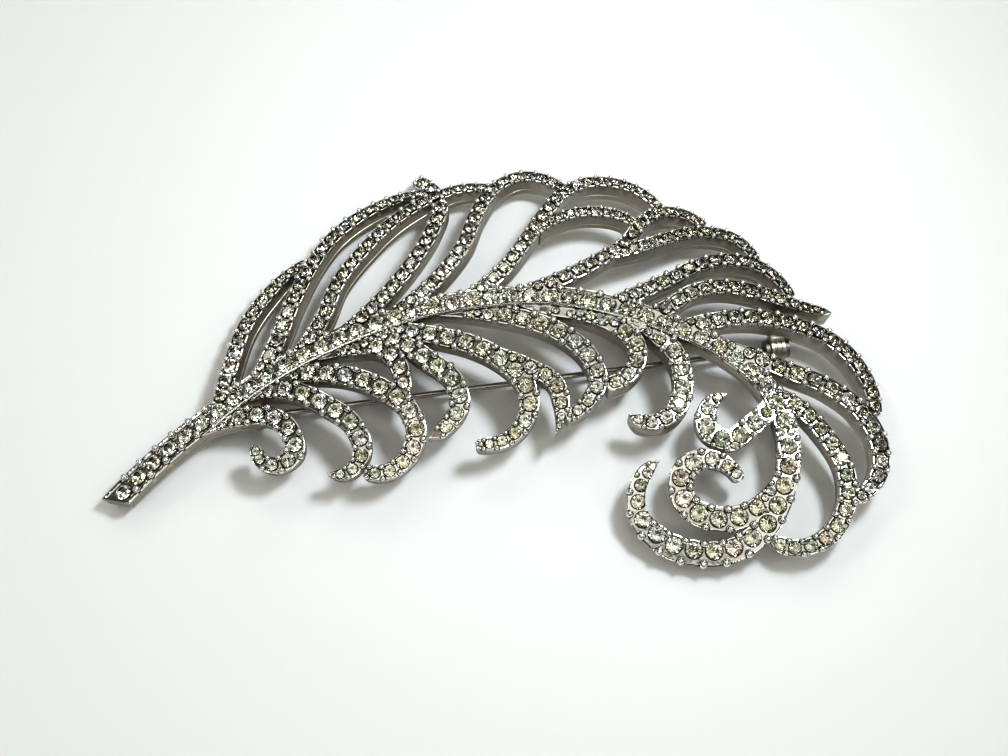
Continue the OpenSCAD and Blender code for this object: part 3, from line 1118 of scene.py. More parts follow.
@dataclass(frozen=True)
class Plume:
    """The cast plume: bars that are channelled, dimpled and drilled for the stones, the ridge below
    the main row, and the hinge bracket and catch ring soldered to the back."""

    bars: Bars = Bars()
    channels: Channels = Channels()
    seats: Seats = Seats()
    dimples: Dimples = Dimples()
    ridge: Ridge = Ridge()
    # Face-size and steepness limits of the crevices that are painted with shade
    crevice_shade_area: float = 0.3
    crevice_shade_slope: float = 0.88
    sharp_from: float = 38.0

    def mark_depth(self, mesh: bpy.types.Mesh, stones: list[Setting], beads: list[Bead]) -> None:
        """Note on every face how far it lies under the dome, and whether it is painted as shade in the
        crevices.

        Args:
            mesh: the casting, in the source's frame.
            stones: the stones, whose seats are crevices.
            beads: the bead prongs, whose dimples are crevices.
        """
        near, close = nearest_of(stones), nearest_of(beads)
        depths, crevice_shades = [], []
        for face in mesh.polygons:
            x, y, z = face.center
            under = DOME.height(x, y) - z
            depths.append(max(0.0, under))
            _, i, far = near.find((x, y, 0.0))
            _, k, away = close.find((x, y, 0.0))
            # Small, steep faces of the seat and dimple walls are marked for painted shade
            held = self.seats.wall_at(stones[i], far, under) or self.dimples.wall_at(beads[k], away, under)
            steep = face.normal.dot(DOME.normal(x, y)) < self.crevice_shade_slope
            crevice_shades.append(float(held and steep and face.area < self.crevice_shade_area))
        mark(mesh, "depth", "FLOAT", "FACE", depths)
        mark(mesh, "crevice_shade", "FLOAT", "FACE", crevice_shades)

    def build(self, plan: dict[str, list[Setting]], beads: list[Bead],
              fittings: list[bpy.types.Mesh], finish: bpy.types.Material) -> bpy.types.Object:
        """Cast the plume and dress it.

        Args:
            plan: the stones of every row.
            beads: the bead prongs.
            fittings: solids soldered to the back, in the source's frame.
            finish: the metal's material.

        Returns:
            The plume's object, riding on the brooch.
        """
        rows = [row for group in Group for row in group.rows]
        stones = [stone for row in rows for stone in plan[row.name]]
        base, *bars = [self.bars.mesh(row) for row in rows]
        channels = [self.channels.tool(row, plan[row.name]) for row in rows if plan[row.name]]
        tools = [*channels, self.dimples.tool(beads), self.seats.tool(stones)]
        steps = [(Cut.JOIN, bar) for bar in bars] + [(Cut.TAKE, tool) for tool in tools]
        steps += [(Cut.JOIN, solid) for solid in (self.ridge.mesh(), *fittings)]
        cast = worked("plume", base, steps)
        self.mark_depth(cast, stones, beads)
        mesh = smoothed(row_mesh(cast), self.sharp_from)
        mesh.materials.clear()
        mesh.materials.append(finish)
        return ridden(linked("plume", mesh), ("feather_frame",))


def ridden(obj: bpy.types.Object, nodes: tuple = ()) -> bpy.types.Object:
    """Hand a finished piece to the brooch's body.

    Args:
        obj: the piece, in place.
        nodes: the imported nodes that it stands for.

    Returns:
        The same object.
    """
    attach(obj, BODY)
    if nodes:
        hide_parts(*nodes)
    LOG.info("%s: %d faces on %s", obj.name, len(obj.data.polygons), BODY)
    return obj


# The fittings on the back


@dataclass(frozen=True)
class PinLine:
    """The line of the pin, from the hinge to the catch."""

    hinge: tuple = (-32.5, -4.6)
    catch: tuple = (36.8, 5.3)
    height: float = 1.75

    def at(self, end: tuple) -> Matrix:
        """Return the place of an end's axis, with X along the pin."""
        turn = math.atan2(self.catch[1] - self.hinge[1], self.catch[0] - self.hinge[0])
        return Matrix.Translation((*end, self.height)) @ Matrix.Rotation(turn, 4, "Z")


@dataclass(frozen=True)
class HingeBracket:
    """The plate and two ears that carry the pin's hinge."""

    line: PinLine = PinLine()
    plate: tuple = (2.8, 4.6, 1.1)
    plate_top: float = 4.2
    plate_off: tuple = (-0.5, -0.2)
    ear: float = 0.7
    ear_d: float = 2.6
    ear_gap: float = 1.34
    ear_sides: int = 40
    root: float = 0.1
    bore: float = 0.88
    bore_sides: int = 32

    def ear_at(self, middle: float, plate_foot: float) -> bpy.types.Mesh:
        """Return one bored ear, round the hinge's axis and rooted in the plate.

        Args:
            middle: the middle of the ear's thickness, along the hinge's axis.
            plate_foot: height of the plate's underside over that axis.

        Returns:
            The ear, in the hinge's own frame.
        """
        points = []
        for y in (middle - self.ear / 2, middle + self.ear / 2):
            points += [Vector((p.x, y, p.y)) for p in circle(self.ear_d / 2, self.ear_sides, 0)]
            for x in (-1, 1):
                for z in (-self.root, self.root):
                    points.append(Vector((self.plate_off[0] + x * self.plate[0] / 2, y, plate_foot + z)))
        across = Vector((0, 1, 0))
        bore = rod("hinge_bore", self.bore, 3 * self.ear, across, (0, middle, 0), self.bore_sides)
        return worked("hinge_ear", hull_of("hinge_ear", points), [(Cut.TAKE, bore)])

    def meshes(self) -> list[bpy.types.Mesh]:
        """Return the plate and the bored ears, in the source's frame.

        Returns:
            The three solids.
        """
        top = self.plate_top - self.line.height
        made = [block("hinge_plate", self.plate, (*self.plate_off, top - self.plate[2] / 2))]
        for side in (-1, 1):
            made.append(self.ear_at(side * (self.ear_gap + self.ear) / 2, top - self.plate[2]))
        for mesh in made:
            mesh.transform(self.line.at(self.line.hinge))
        return made


@dataclass(frozen=True)
class CatchRing:
    """The slotted, grooved ring that holds the catch's rotor, on its foot."""

    line: PinLine = PinLine()
    outside: float = 3.4
    length: float = 2.0
    bore: float = 2.08
    slot: float = 1.12
    foot: tuple = (2.0, 2.6, 1.6)
    foot_at: tuple = (0, 1.75, 1.7)
    groove: float = 0.1
    groove_at: tuple = (0.5, 0.4, 0.25, 0.15)
    sides: int = 64

    def meshes(self) -> list[bpy.types.Mesh]:
        """Return the ring with its foot, in the source's frame.

        Returns:
            A list of the one solid.
        """
        r, g, half = self.outside / 2, self.groove, self.length / 2
        right = [(half, self.bore / 2), (half, r - g), (half - g, r)]
        right += [(half * at, radius) for at, radius in zip(self.groove_at, (r, r - g, r - g, r))]
        ring = lathe("catch_ring", right + [(-x, radius) for x, radius in reversed(right)], self.sides)
        foot = block("catch_foot", self.foot, self.foot_at)
        bore = rod("catch_bore", self.bore, 2 * self.length, Vector((1, 0, 0)), (0, 0, 0), self.sides)
        slot = block("catch_slot", (2 * self.length, self.slot, self.outside), (0, 0, -self.outside / 2))
        made = worked("catch_ring", ring, [(Cut.JOIN, foot), (Cut.TAKE, bore), (Cut.TAKE, slot)])
        made.transform(self.line.at(self.line.catch))
        return [made]


# What repeats: stones and bead prongs


class Bench:
    """A small workbench for node trees."""

    def __init__(self, tree: bpy.types.NodeTree) -> None:
        """Take the tree to work on, and clear it."""
        self.tree = tree
        tree.nodes.clear()

    def node(self, kind: str, takes: dict | None = None, **settings: object) -> bpy.types.Node:
        """Add a node.

        Args:
            kind: the node's type.
            takes: what its inputs take, by their name or number: a socket, a node whose first
                output is meant, or a value.
            settings: its properties.

        Returns:
            The new node.
        """
        made = self.tree.nodes.new(kind)
        for name, value in settings.items():
            setattr(made, name, value)
        for name, value in (takes or {}).items():
            target = made.inputs[name] if isinstance(name, int) else self.live(made.inputs, name)
            if isinstance(value, bpy.types.Node):
                value = self.live(value.outputs)
            if isinstance(value, bpy.types.NodeSocket):
                self.tree.links.new(value, target)
            else:
                target.default_value = value
        return made

    def marked(self, name: str, kind: str) -> bpy.types.Node:
        """Add a node that reads a named attribute in a Geometry Nodes tree."""
        return self.node("GeometryNodeInputNamedAttribute", {"Name": name}, data_type=kind)

    def ramp(self, source: bpy.types.NodeSocket, stops: tuple, fade: str) -> bpy.types.Node:
        """Add a colour ramp.

        Args:
            source: the number that it reads.
            stops: pairs of position and tone, in order.
            fade: how it goes from one stop to the next.

        Returns:
            The ramp's node.
        """
        made = self.node("ShaderNodeValToRGB", {"Fac": source})
        made.color_ramp.interpolation = fade
        places = made.color_ramp.elements
        for i, (start, tone) in enumerate(stops):
            stop = places[i] if i < len(places) else places.new(start)
            stop.position = start
            stop.color = tone.rgba
        return made

    @staticmethod
    def live(sockets: object, name: str = "") -> bpy.types.NodeSocket:
        """Return the first enabled socket, or the first one of a name."""
        return next(s for s in sockets if s.enabled and name in ("", s.name))


@dataclass(frozen=True)
class Studding:
    """A Geometry Nodes tree that sets one small shape on every point of a mesh.

    Each point's "facing" turns the shape and its "size" scales it; turn and lean vary it.
    """

    name: str
    lean: float
    seed: int
    turn: float = 2 * math.pi
    inputs: tuple = (("Geometry", "Geometry"), ("Shape", "Object"), ("Turn", "Float"), ("Lean", "Float"),
                     ("Seed", "Int"), ("Front", "Material"), ("Back", "Material"))

    def tree(self) -> bpy.types.NodeTree:
        """Return the node tree, with named inputs.

        Returns:
            The tree, which ends in plain mesh with its materials.
        """
        tree = bpy.data.node_groups.new(self.name, "GeometryNodeTree")
        for name, kind in self.inputs:
            tree.interface.new_socket(name, in_out="INPUT", socket_type="NodeSocket" + kind)
        tree.interface.new_socket("Geometry", in_out="OUTPUT", socket_type="NodeSocketGeometry")
        b = Bench(tree)
        start = b.node("NodeGroupInput").outputs
        shape = b.node("GeometryNodeObjectInfo", {"Object": start["Shape"]}, transform_space="ORIGINAL")
        align = b.node("FunctionNodeAlignRotationToVector", {"Vector": b.marked("facing", "FLOAT_VECTOR")},
                       axis="Z")
        put = b.node("GeometryNodeInstanceOnPoints", {
            "Points": start["Geometry"], "Instance": shape.outputs["Geometry"],
            "Rotation": align, "Scale": b.marked("size", "FLOAT"),
        })
        lean, seed = start["Lean"], start["Seed"]
        minus = b.node("ShaderNodeMath", {0: lean, 1: -1.0}, operation="MULTIPLY")
        least = b.node("ShaderNodeCombineXYZ", {"X": minus, "Y": minus})
        most = b.node("ShaderNodeCombineXYZ", {"X": lean, "Y": lean, "Z": start["Turn"]})
        spin = b.node("FunctionNodeRandomValue", {"Min": least, "Max": most, "Seed": seed},
                      data_type="FLOAT_VECTOR")
        turned = b.node("GeometryNodeRotateInstances", {"Instances": put, "Rotation": spin})
        tint = b.node("FunctionNodeRandomValue", {"Seed": seed}, data_type="FLOAT")
        tinted = b.node("GeometryNodeStoreNamedAttribute", {
            "Geometry": turned, "Name": "tint", "Value": tint,
        }, data_type="FLOAT", domain="INSTANCE")
        real = b.node("GeometryNodeRealizeInstances", {"Geometry": tinted})
        front = b.node("GeometryNodeSetMaterial", {"Geometry": real, "Material": start["Front"]})
        back = b.node("GeometryNodeSetMaterial", {
            "Geometry": front, "Selection": b.marked("backed", "BOOLEAN"), "Material": start["Back"],
        })
        b.node("NodeGroupOutput", {"Geometry": back})
        return tree

    def studs(self, places: list[tuple[Vector, Vector, float]], shape: bpy.types.Mesh,
              front: bpy.types.Material, back: bpy.types.Material) -> bpy.types.Mesh:
        """Set the shape on every place.

        Args:
            places: where each stands, which way it faces and its size.
            shape: the shape at size 1, facing up.
            front: the material of its faces.
            back: the material of its faces that are marked "backed".

        Returns:
            One mesh in the row frame.
        """
        points = bpy.data.meshes.new(self.name + "_points")
        points.from_pydata([place for place, _, _ in places], [], [])
        mark(points, "facing", "FLOAT_VECTOR", "POINT", [c for _, way, _ in places for c in way])
        mark(points, "size", "FLOAT", "POINT", [size for _, _, size in places])
        carrier, pattern = linked(self.name + "_carrier", points), linked(self.name + "_shape", shape)
        given = {"Shape": pattern, "Turn": self.turn, "Lean": self.lean, "Seed": self.seed,
                 "Front": front, "Back": back}
        step = carrier.modifiers.new("studs", "NODES")
        step.node_group = self.tree()
        for item in step.node_group.interface.items_tree:
            if item.in_out == "INPUT" and item.name in given:
                step[item.identifier] = given[item.name]
        mesh = evaluated_mesh(carrier, self.name)
        bpy.data.objects.remove(carrier)
        bpy.data.objects.remove(pattern)
        return row_mesh(mesh)


@dataclass(frozen=True)
class CutStone:
    """A round stone of size 1: table, star, kite and girdle facets above, pointed back below."""

    table: float = 0.56
    crown: float = 0.2
    point: float = 0.4
    star: float = 0.8
    sides: int = 8

    def mesh(self) -> bpy.types.Mesh:
        """Return the stone's mesh, with its back marked for the foil.

        Returns:
            The mesh, with its girdle at height 0.
        """
        n = self.sides
        step = math.pi / n
        inner, middle, girdle = self.table / 2, self.star / 2, 0.5
        fall = self.crown / (girdle - inner)
        height = self.crown - fall * (middle * math.cos(step) - inner)
        verts = circle(inner, n, self.crown) + circle(middle, n, height, step) + circle(girdle, 2 * n, 0)
        verts.append(Vector((0, 0, -self.point)))
        faces = [tuple(range(n))]
        rim = 2 * n
        for k in range(n):
            after, before = (k + 1) % n, (k - 1) % n
            faces.append((k, n + k, after))
            faces.append((k, n + before, rim + 2 * k, n + k))
            faces.append((n + k, rim + 2 * k, rim + 2 * k + 1))
            faces.append((n + k, rim + 2 * k + 1, rim + 2 * after))
        fronts = len(faces)
        faces += [(rim + k, 2 * rim, rim + (k + 1) % rim) for k in range(rim)]
        mesh = solid_mesh("cut_stone", verts, faces)
        mark(mesh, "backed", "BOOLEAN", "FACE", [i >= fronts for i in range(len(faces))])
        return mesh


# Seed of the first field of stones, which the next ones count on from
STONE_SEED = 11


@dataclass(frozen=True)
class StoneField:
    """One field of cut stones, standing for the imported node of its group."""

    group: Group
    seed: int
    lean: float = math.radians(5)

    def build(self, plan: dict[str, list[Setting]], glass: bpy.types.Material,
              foil: bpy.types.Material) -> bpy.types.Object:
        """Set the field's stones.

        Args:
            plan: the stones of every row.
            glass: the material of the crowns.
            foil: the material of the backs.

        Returns:
            The field's object, riding on the brooch.
        """
        stones = [stone for row in self.group.rows for stone in plan[row.name]]
        places = [(DOME.on(k.x, k.y, -STONE_SINK), DOME.normal(k.x, k.y), k.width) for k in stones]
        name = self.group.node.replace("stones", "rhinestones")
        mesh = Studding(name, self.lean, self.seed).studs(places, CutStone().mesh(), glass, foil)
        return ridden(linked(name, mesh), (self.group.node,))


@dataclass(frozen=True)
class BeadProngs:
    """The round grains of metal that hold the stones, in pairs between them along both borders.

    The bare tip of a row carries single beads. The bead's own levels are (radius, rise) from its
    top, for a bead of size 1.
    """

    share: float = 0.225
    least: float = 0.05
    overhang: float = 0.2
    ridge_width: float = 0.3
    widest_gap: float = 1.0
    end_gap: float = 0.2
    root_clear: float = 0.35
    tip_clear: float = 0.45
    tip_gap: float = 0.5
    tip_half: float = 0.32
    tip_radius: float = 0.3
    tip_share: float = 0.6
    tip_spacing: float = 1.9
    stone_overlap: float = 0.55
    bead_overlap: float = 0.85
    levels: tuple = ((0.12, 0.49), (0.3, 0.4), (0.46, 0.2), (0.5, -0.08), (0.42, -0.4))
    sides: int = 10
    sharp_from: float = 75.0
    # Share of painted shade on the bead's foot, where it meets its dimple
    crevice_shade: float = 0.6
    lean: float = math.radians(6)
    seed: int = 7

    def bead(self) -> bpy.types.Mesh:
        """Return a domed grain of size 1, with a little painted shade round its foot.

        Returns:
            The grain's mesh.
        """
        mesh = turned_solids("bead", [(Matrix(), list(self.levels))], self.sides)
        smoothed(mesh, self.sharp_from)
        foot = self.sides + 1
        # The foot faces are marked for painted shade
        dark = [0.0] * (len(mesh.polygons) - foot) + [self.crevice_shade] * foot
        mark(mesh, "crevice_shade", "FLOAT", "FACE", dark)
        return mesh

    def pair(self, row: Row, s: float, width: float) -> list[Bead]:
        """Return the two beads at a distance along a row.

        Args:
            row: the row.
            s: distance from the row's root.
            width: width of the stones beside them.

        Returns:
            The beads on its left and right.
        """
        radius = self.share * width + self.least
        spot, a = row.spot(s), row.across(s)
        made = []
        for side in (1, -1):
            out = row.half(s) - BORDER - radius * self.overhang
            if row is STEM and side < 0:
                out -= self.ridge_width
            made.append(Bead(spot.x + a.x * out * side, spot.y + a.y * out * side, radius, row.sink))
        return made

    def along(self, row: Row, stones: list[Setting]) -> list[Bead]:
        """Return the beads of one row, before the stones of other rows are looked at.

        Args:
            row: the row.
            stones: its stones.

        Returns:
            The beads from root to tip.
        """
        made = []
        for a, b in zip(stones, stones[1:]):
            if b.along - a.along < (a.width + b.width) / 2 + self.widest_gap:
                made += self.pair(row, (a.along + b.along) / 2, (a.width + b.width) / 2)
        for stone, way in ((stones[0], -1), (stones[-1], 1)):
            s = stone.along + way * (stone.width / 2 + self.end_gap)
            if self.root_clear < s < row.length - self.tip_clear:
                made += self.pair(row, s, stone.width)
        s = stones[-1].along + stones[-1].width / 2 + self.tip_gap
        while row.half(s) > self.tip_half and s < row.length and not row.hollow:
            spot = row.spot(s)
            radius = min(self.tip_radius, row.half(s) * self.tip_share)
            made.append(Bead(spot.x, spot.y, radius, row.sink))
            s += self.tip_spacing * radius
        return made

    def laid_out(self, plan: dict[str, list[Setting]]) -> list[Bead]:
        """Return the beads that stay clear of every stone and of each other.

        Args:
            plan: the stones of every row.

        Returns:
            The beads.
        """
        stones = [stone for row in plan.values() for stone in row]
        kept: list[Bead] = []
        for row in (row for group in Group for row in group.rows if plan[row.name]):
            for bead in self.along(row, plan[row.name]):
                x, y, radius = bead.x, bead.y, bead.radius
                if any(stone.off(x, y) < stone.width / 2 + radius * self.stone_overlap for stone in stones):
                    continue
                share = self.bead_overlap
                if all(math.hypot(x - k.x, y - k.y) >= (radius + k.radius) * share for k in kept):
                    kept.append(bead)
        return kept

    def build(self, beads: list[Bead], finish: bpy.types.Material) -> bpy.types.Object:
        """Raise the beads.

        Args:
            beads: the beads.
            finish: the metal's material.

        Returns:
            The beads' object, riding on the brooch.
        """
        places = [(DOME.on(k.x, k.y, -k.sink), DOME.normal(k.x, k.y), 2 * k.radius) for k in beads]
        mesh = Studding("bead_prongs", self.lean, self.seed).studs(places, self.bead(), finish, finish)
        return ridden(linked("bead_prongs", mesh))


# Finishes


@dataclass(frozen=True)
class Tone:
    """A colour as linear red, green and blue."""

    red: float
    green: float
    blue: float

    @property
    def rgba(self) -> tuple[float, float, float, float]:
        """Return the colour with full alpha."""
        return (self.red, self.green, self.blue, 1.0)


@dataclass(frozen=True)
class Finish:
    """A finish of one Principled shader, which takes plain values and the nodes before it."""

    name: str

    def dress(self, b: Bench) -> dict:
        """Return what the shader takes."""
        raise NotImplementedError

    def material(self) -> bpy.types.Material:
        """Return the finish as a material.

        Returns:
            The new material.
        """
        made = bpy.data.materials.new(self.name)
        made.use_nodes = True
        b = Bench(made.node_tree)
        shader = b.node("ShaderNodeBsdfPrincipled", self.dress(b))
        b.node("ShaderNodeOutputMaterial", {"Surface": shader})
        return made


@dataclass(frozen=True)
class MetalFinish(Finish):
    """Polished metal with a fine ripple and slightly uneven gloss."""

    face: Tone
    polish: float
    ripple: float
    ripple_scale: float
    ripple_detail: float = 3.0
    ripple_height: float = 0.0001
    scuff: float = 0.1

    def colour_and_gloss(self, b: Bench) -> tuple[object, object]:
        """Return what the colour and the roughness take."""
        return self.face.rgba, self.polish

    def dress(self, b: Bench) -> dict:
        """Return what the shader takes.

        Args:
            b: the material's workbench.

        Returns:
            Values and nodes by the shader's sockets.
        """
        colour, gloss = self.colour_and_gloss(b)
        place = b.node("ShaderNodeTexCoord").outputs["Object"]
        grain = b.node("ShaderNodeTexNoise", {
            "Vector": place, "Scale": self.ripple_scale, "Detail": self.ripple_detail,
        }).outputs["Fac"]
        uneven = b.node("ShaderNodeMath", {0: grain, 1: self.scuff, 2: gloss}, operation="MULTIPLY_ADD")
        bump = b.node("ShaderNodeBump", {
            "Strength": self.ripple, "Distance": self.ripple_height, "Height": grain,
        })
        return {"Base Color": colour, "Metallic": 1.0, "Roughness": uneven, "Normal": bump}


@dataclass(frozen=True)
class CastFinish(MetalFinish):
    """Plated castings, darker and rougher the deeper a face lies under the dome, with near-black painted
    shade in the crevices round the stones and beads. They read how far each face lies under the dome, and
    whether it is marked for that shade."""

    wall: Tone = Tone(0.34, 0.31, 0.26)
    wall_roughness: float = 0.3
    wall_from: float = 0.18
    wall_full: float = 0.6
    # Near-black tone of the painted shade in the marked crevices
    crevice_shade: Tone = Tone(0.055, 0.05, 0.042)

    def colour_and_gloss(self, b: Bench) -> tuple[object, object]:
        """Return what the colour and the roughness take.

        Args:
            b: the material's workbench.

        Returns:
            The nodes for the two sockets.
        """
        # Faces deeper under the dome take the darker, rougher wall metal
        depth = b.node("ShaderNodeAttribute", attribute_name="depth").outputs["Fac"]
        near_top = b.node("ShaderNodeMapRange", {
            "Value": depth, "From Min": self.wall_full, "From Max": self.wall_from,
        }, interpolation_type="SMOOTHSTEP")
        colour = b.node("ShaderNodeMix", {
            "Factor": near_top, "A": self.wall.rgba, "B": self.face.rgba,
        }, data_type="RGBA")
        # Painted shade: faces marked as crevices are mixed towards the near-black tone
        painted_shade = b.node("ShaderNodeAttribute", attribute_name="crevice_shade").outputs["Fac"]
        shaded_colour = b.node("ShaderNodeMix", {
            "Factor": painted_shade, "A": colour, "B": self.crevice_shade.rgba,
        }, data_type="RGBA")
        gloss = b.node("ShaderNodeMapRange", {
            "Value": near_top, "To Min": self.wall_roughness, "To Max": self.polish,
        })
        return shaded_colour, gloss


@dataclass(frozen=True)
class GlassFinish(Finish):
    """Clear, faintly tinted stone; its tint differs from stone to stone."""

    tints: tuple
    index: float

    def dress(self, b: Bench) -> dict:
        """Return what the shader takes.

        Args:
            b: the material's workbench.

        Returns:
            Values and nodes by the shader's sockets.
        """
        tint = b.node("ShaderNodeAttribute", attribute_name="tint").outputs["Fac"]
        return {"Base Color": b.ramp(tint, self.tints, "CONSTANT"), "Roughness": 0.0,
                "IOR": self.index, "Transmission Weight": 1.0}


@dataclass(frozen=True)
class FoilFinish(Finish):
    """Bright foil behind a stone, a little clouded here and there."""

    clouds: tuple
    roughness: float
    cloud_scale: float

    def dress(self, b: Bench) -> dict:
        """Return what the shader takes.

        Args:
            b: the material's workbench.

        Returns:
            Values and nodes by the shader's sockets.
        """
        place = b.node("ShaderNodeTexCoord").outputs["Object"]
        cloud = b.node("ShaderNodeTexNoise", {"Vector": place, "Scale": self.cloud_scale}).outputs["Fac"]
        return {"Base Color": b.ramp(cloud, self.clouds, "LINEAR"), "Metallic": 1.0,
                "Roughness": self.roughness}


@dataclass(frozen=True)
class SheetFinish(Finish):
    """Plain pale paper."""

    tone: Tone
    roughness: float

    def dress(self, b: Bench) -> dict:
        """Return what the shader takes."""
        return {"Base Color": self.tone.rgba, "Roughness": self.roughness}


PLATED = CastFinish("polished_plate", Tone(0.84, 0.83, 0.81), polish=0.06, ripple=0.5, ripple_scale=1300.0)
STEEL = MetalFinish("pin_steel", Tone(0.30, 0.28, 0.26), polish=0.12, ripple=0.1, ripple_scale=900.0)
CATCH = MetalFinish("catch_metal", Tone(0.18, 0.16, 0.135), polish=0.4, ripple=0.1, ripple_scale=900.0)
GLASS = GlassFinish("pale_stone", (
    (0.0, Tone(0.98, 0.98, 0.98)), (0.2, Tone(0.96, 0.97, 0.88)), (0.34, Tone(0.91, 0.94, 0.82)),
    (0.46, Tone(0.98, 0.95, 0.84)), (0.58, Tone(0.87, 0.95, 0.91)), (0.68, Tone(0.98, 0.98, 0.98)),
    (0.8, Tone(0.97, 0.89, 0.88)), (0.88, Tone(0.88, 0.89, 0.99)),
), index=1.6)
FOIL = FoilFinish("stone_foil", ((0.38, Tone(0.6, 0.6, 0.52)), (0.52, Tone(0.96, 0.96, 0.92))),
                  roughness=0.02, cloud_scale=700.0)
SHEET = SheetFinish("plain_sheet", Tone(0.845, 0.86, 0.875), roughness=0.85)


@dataclass(frozen=True)
class PinAndCatch:
    """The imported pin, rivet and rotor, which keep their solids and are dressed in steel."""

    steel: tuple = ("pin_stem", "hinge_rivet")
    rotor: str = "catch_rotor"
    sharp_from: float = 35.0

    def build(self, steel: bpy.types.Material, catch: bpy.types.Material) -> None:
        """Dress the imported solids.

        Args:
            steel: the material of the pin and its rivet.
            catch: the material of the catch's rotor.
        """
        for name in (*self.steel, self.rotor):
            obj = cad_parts[name]
            for place in obj.material_slots:
                place.material = catch if name == self.rotor else steel
            smoothed(obj.data, self.sharp_from)
            LOG.info("%s: %d faces, kept from the pack", name, len(obj.data.polygons))


# The studio


@dataclass(frozen=True)
class Softbox:
    """A square area light: where it stands, where it points, its side in metres, its power in watts
    and its tone."""

    name: str
    place: tuple
    aim: tuple
    side: float
    power: float
    tone: Tone

    def build(self) -> None:
        """Put up the light."""
        data = bpy.data.lights.new(self.name, "AREA")
        data.size = self.side
        data.energy = self.power
        data.color = (self.tone.red, self.tone.green, self.tone.blue)
        light = linked(self.name, data)
        place = Vector(self.place)
        light.matrix_world = looking(place, Vector(self.aim) - place)
        light.visible_camera = False
        light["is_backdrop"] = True


@dataclass(frozen=True)
class Glow:
    """A soft bright patch of the surroundings: its direction, the angles where it is full and
    where it ends, and its strength."""

    azimuth: float
    elevation: float
    full: float
    end: float
    strength: float

    @property
    def way(self) -> tuple[float, float, float]:
        """Return the direction towards the patch; azimuth 0 is +Y and 90 is +X."""
        turn, rise = math.radians(self.azimuth), math.radians(self.elevation)
        return (math.sin(turn) * math.cos(rise), math.cos(turn) * math.cos(rise), math.sin(rise))


def looking(place: Vector, way: Vector) -> Matrix:
    """Return the place of a light or camera that looks a way."""
    return Matrix.Translation(place) @ way.to_track_quat("-Z", "Y").to_matrix().to_4x4()


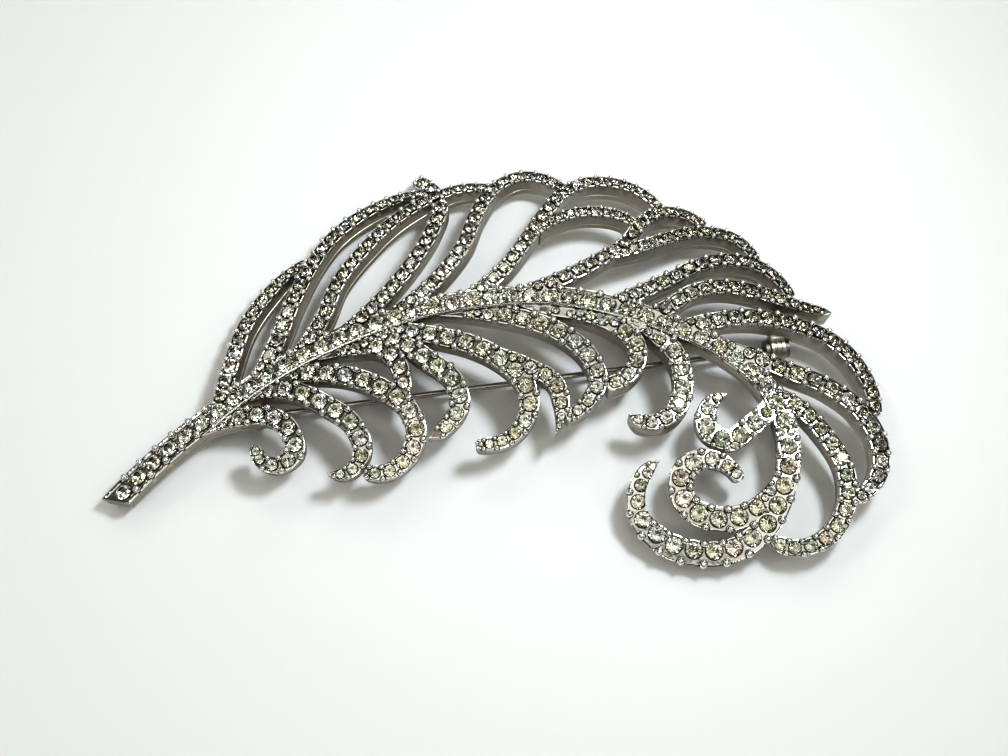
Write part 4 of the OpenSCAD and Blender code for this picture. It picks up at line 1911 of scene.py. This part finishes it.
@dataclass(frozen=True)
class Studio:
    """The pale sheet under the brooch, the light, the surroundings and the camera.

    The surroundings are a pale band at the horizon, soft patches overhead and behind, and small
    bright panes all round, which the facets and the bead prongs mirror.
    """

    sheet_reach: float = 3.0
    sky: Tone = Tone(1.0, 0.98, 0.89)
    overhead: float = 0.06
    horizon: float = 0.5
    band: tuple = (0.08, 0.22)
    top: Glow = Glow(180, 84, 10, 22, 1.24)
    pane: Glow = Glow(0, 0, 3, 5.3, 7.9)
    panes: tuple = ((-100, 34), (-72, 54), (-42, 34), (-12, 50), (12, 30), (72, 30), (96, 54), (128, 34),
                    (160, 52), (196, 34), (228, 52))
    behind: tuple = (Glow(22, 56, 8, 20, 0.7), Glow(5, 40, 5, 14, 0.8))
    key: Softbox = Softbox("key", (0.07, 0.022, 0.16), (-0.22, 0.01, 0.0), 0.04, 0.257,
                           Tone(0.92, 0.975, 1.0))
    exposure: float = 0.16
    contrast: float = 0.85
    target: tuple = (0.0012, -0.0038, 0.00432)
    elevation: float = 66.0
    distance: float = 0.165
    lens: float = 44.64
    sensor: float = 36.0
    clip: tuple = (0.005, 10.0)

    def build(self) -> None:
        """Set the stage."""
        self.floor()
        self.key.build()
        self.world()
        self.camera()

    def floor(self) -> None:
        """Lay the sheet."""
        mesh = bpy.data.meshes.new("sheet")
        r = self.sheet_reach
        mesh.from_pydata([(-r, -r, 0), (r, -r, 0), (r, r, 0), (-r, r, 0)], [], [(0, 1, 2, 3)])
        mesh.materials.append(SHEET.material())
        linked("sheet", mesh)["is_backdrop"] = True

    def world(self) -> None:
        """Light the surroundings, and set how bright and how contrasty the picture is."""
        sky = bpy.data.worlds.new("soft_sky")
        sky.use_nodes = True
        bpy.context.scene.world = sky
        b = Bench(sky.node_tree)
        way = b.node("ShaderNodeTexCoord").outputs["Generated"]
        split = b.node("ShaderNodeSeparateXYZ", {0: way})
        total = b.node("ShaderNodeMapRange", {
            "Value": split.outputs["Z"], "From Min": self.band[0], "From Max": self.band[1],
            "To Min": self.horizon, "To Max": self.overhead,
        }, interpolation_type="SMOOTHSTEP")
        panes = [replace(self.pane, azimuth=azimuth, elevation=rise) for azimuth, rise in self.panes]
        for patch in (self.top, *panes, *self.behind):
            towards = b.node("ShaderNodeVectorMath", {0: way, 1: patch.way}, operation="DOT_PRODUCT")
            fade = b.node("ShaderNodeMapRange", {
                "Value": towards.outputs["Value"], "From Min": math.cos(math.radians(patch.end)),
                "From Max": math.cos(math.radians(patch.full)), "To Max": patch.strength,
            }, interpolation_type="SMOOTHSTEP")
            total = b.node("ShaderNodeMath", {0: total, 1: fade}, operation="ADD")
        glow = b.node("ShaderNodeBackground", {"Color": self.sky.rgba, "Strength": total})
        b.node("ShaderNodeOutputWorld", {"Surface": glow})
        view = bpy.context.scene.view_settings
        view.view_transform = "Standard"
        view.exposure = self.exposure
        view.gamma = self.contrast

    def camera(self) -> None:
        """Stand the camera where the photo was taken from."""
        data = bpy.data.cameras.new("camera")
        data.sensor_fit = "HORIZONTAL"
        data.sensor_width = self.sensor
        data.lens = self.lens
        data.clip_start, data.clip_end = self.clip
        rise = math.radians(self.elevation)
        away = Vector((0, -math.cos(rise), math.sin(rise))) * self.distance
        eye = linked("camera", data)
        eye.matrix_world = looking(Vector(self.target) + away, -away)
        bpy.context.scene.camera = eye


def write_size(after: tuple) -> None:
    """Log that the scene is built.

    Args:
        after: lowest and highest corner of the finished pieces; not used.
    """
    LOG.info("sizes written")


def main() -> None:
    """Build the brooch and its studio."""
    logging.basicConfig(level=logging.INFO, format="%(name)s: %(message)s")
    plated, glass, foil = PLATED.material(), GLASS.material(), FOIL.material()
    plan = StonePlan().laid_out()
    for group in Group:
        LOG.info("%s: %d stones", group.node, sum(len(plan[row.name]) for row in group.rows))
    fittings = HingeBracket().meshes() + CatchRing().meshes()
    prongs = BeadProngs()
    beads = prongs.laid_out(plan)
    LOG.info("bead prongs: %d", len(beads))
    Plume().build(plan, beads, fittings, plated)
    for seed, group in enumerate(Group, start=STONE_SEED):
        StoneField(group, seed).build(plan, glass, foil)
    prongs.build(beads, plated)
    PinAndCatch().build(STEEL.material(), CATCH.material())
    Studio().build()
    write_size(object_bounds())


if __name__ == "__main__":
    main()
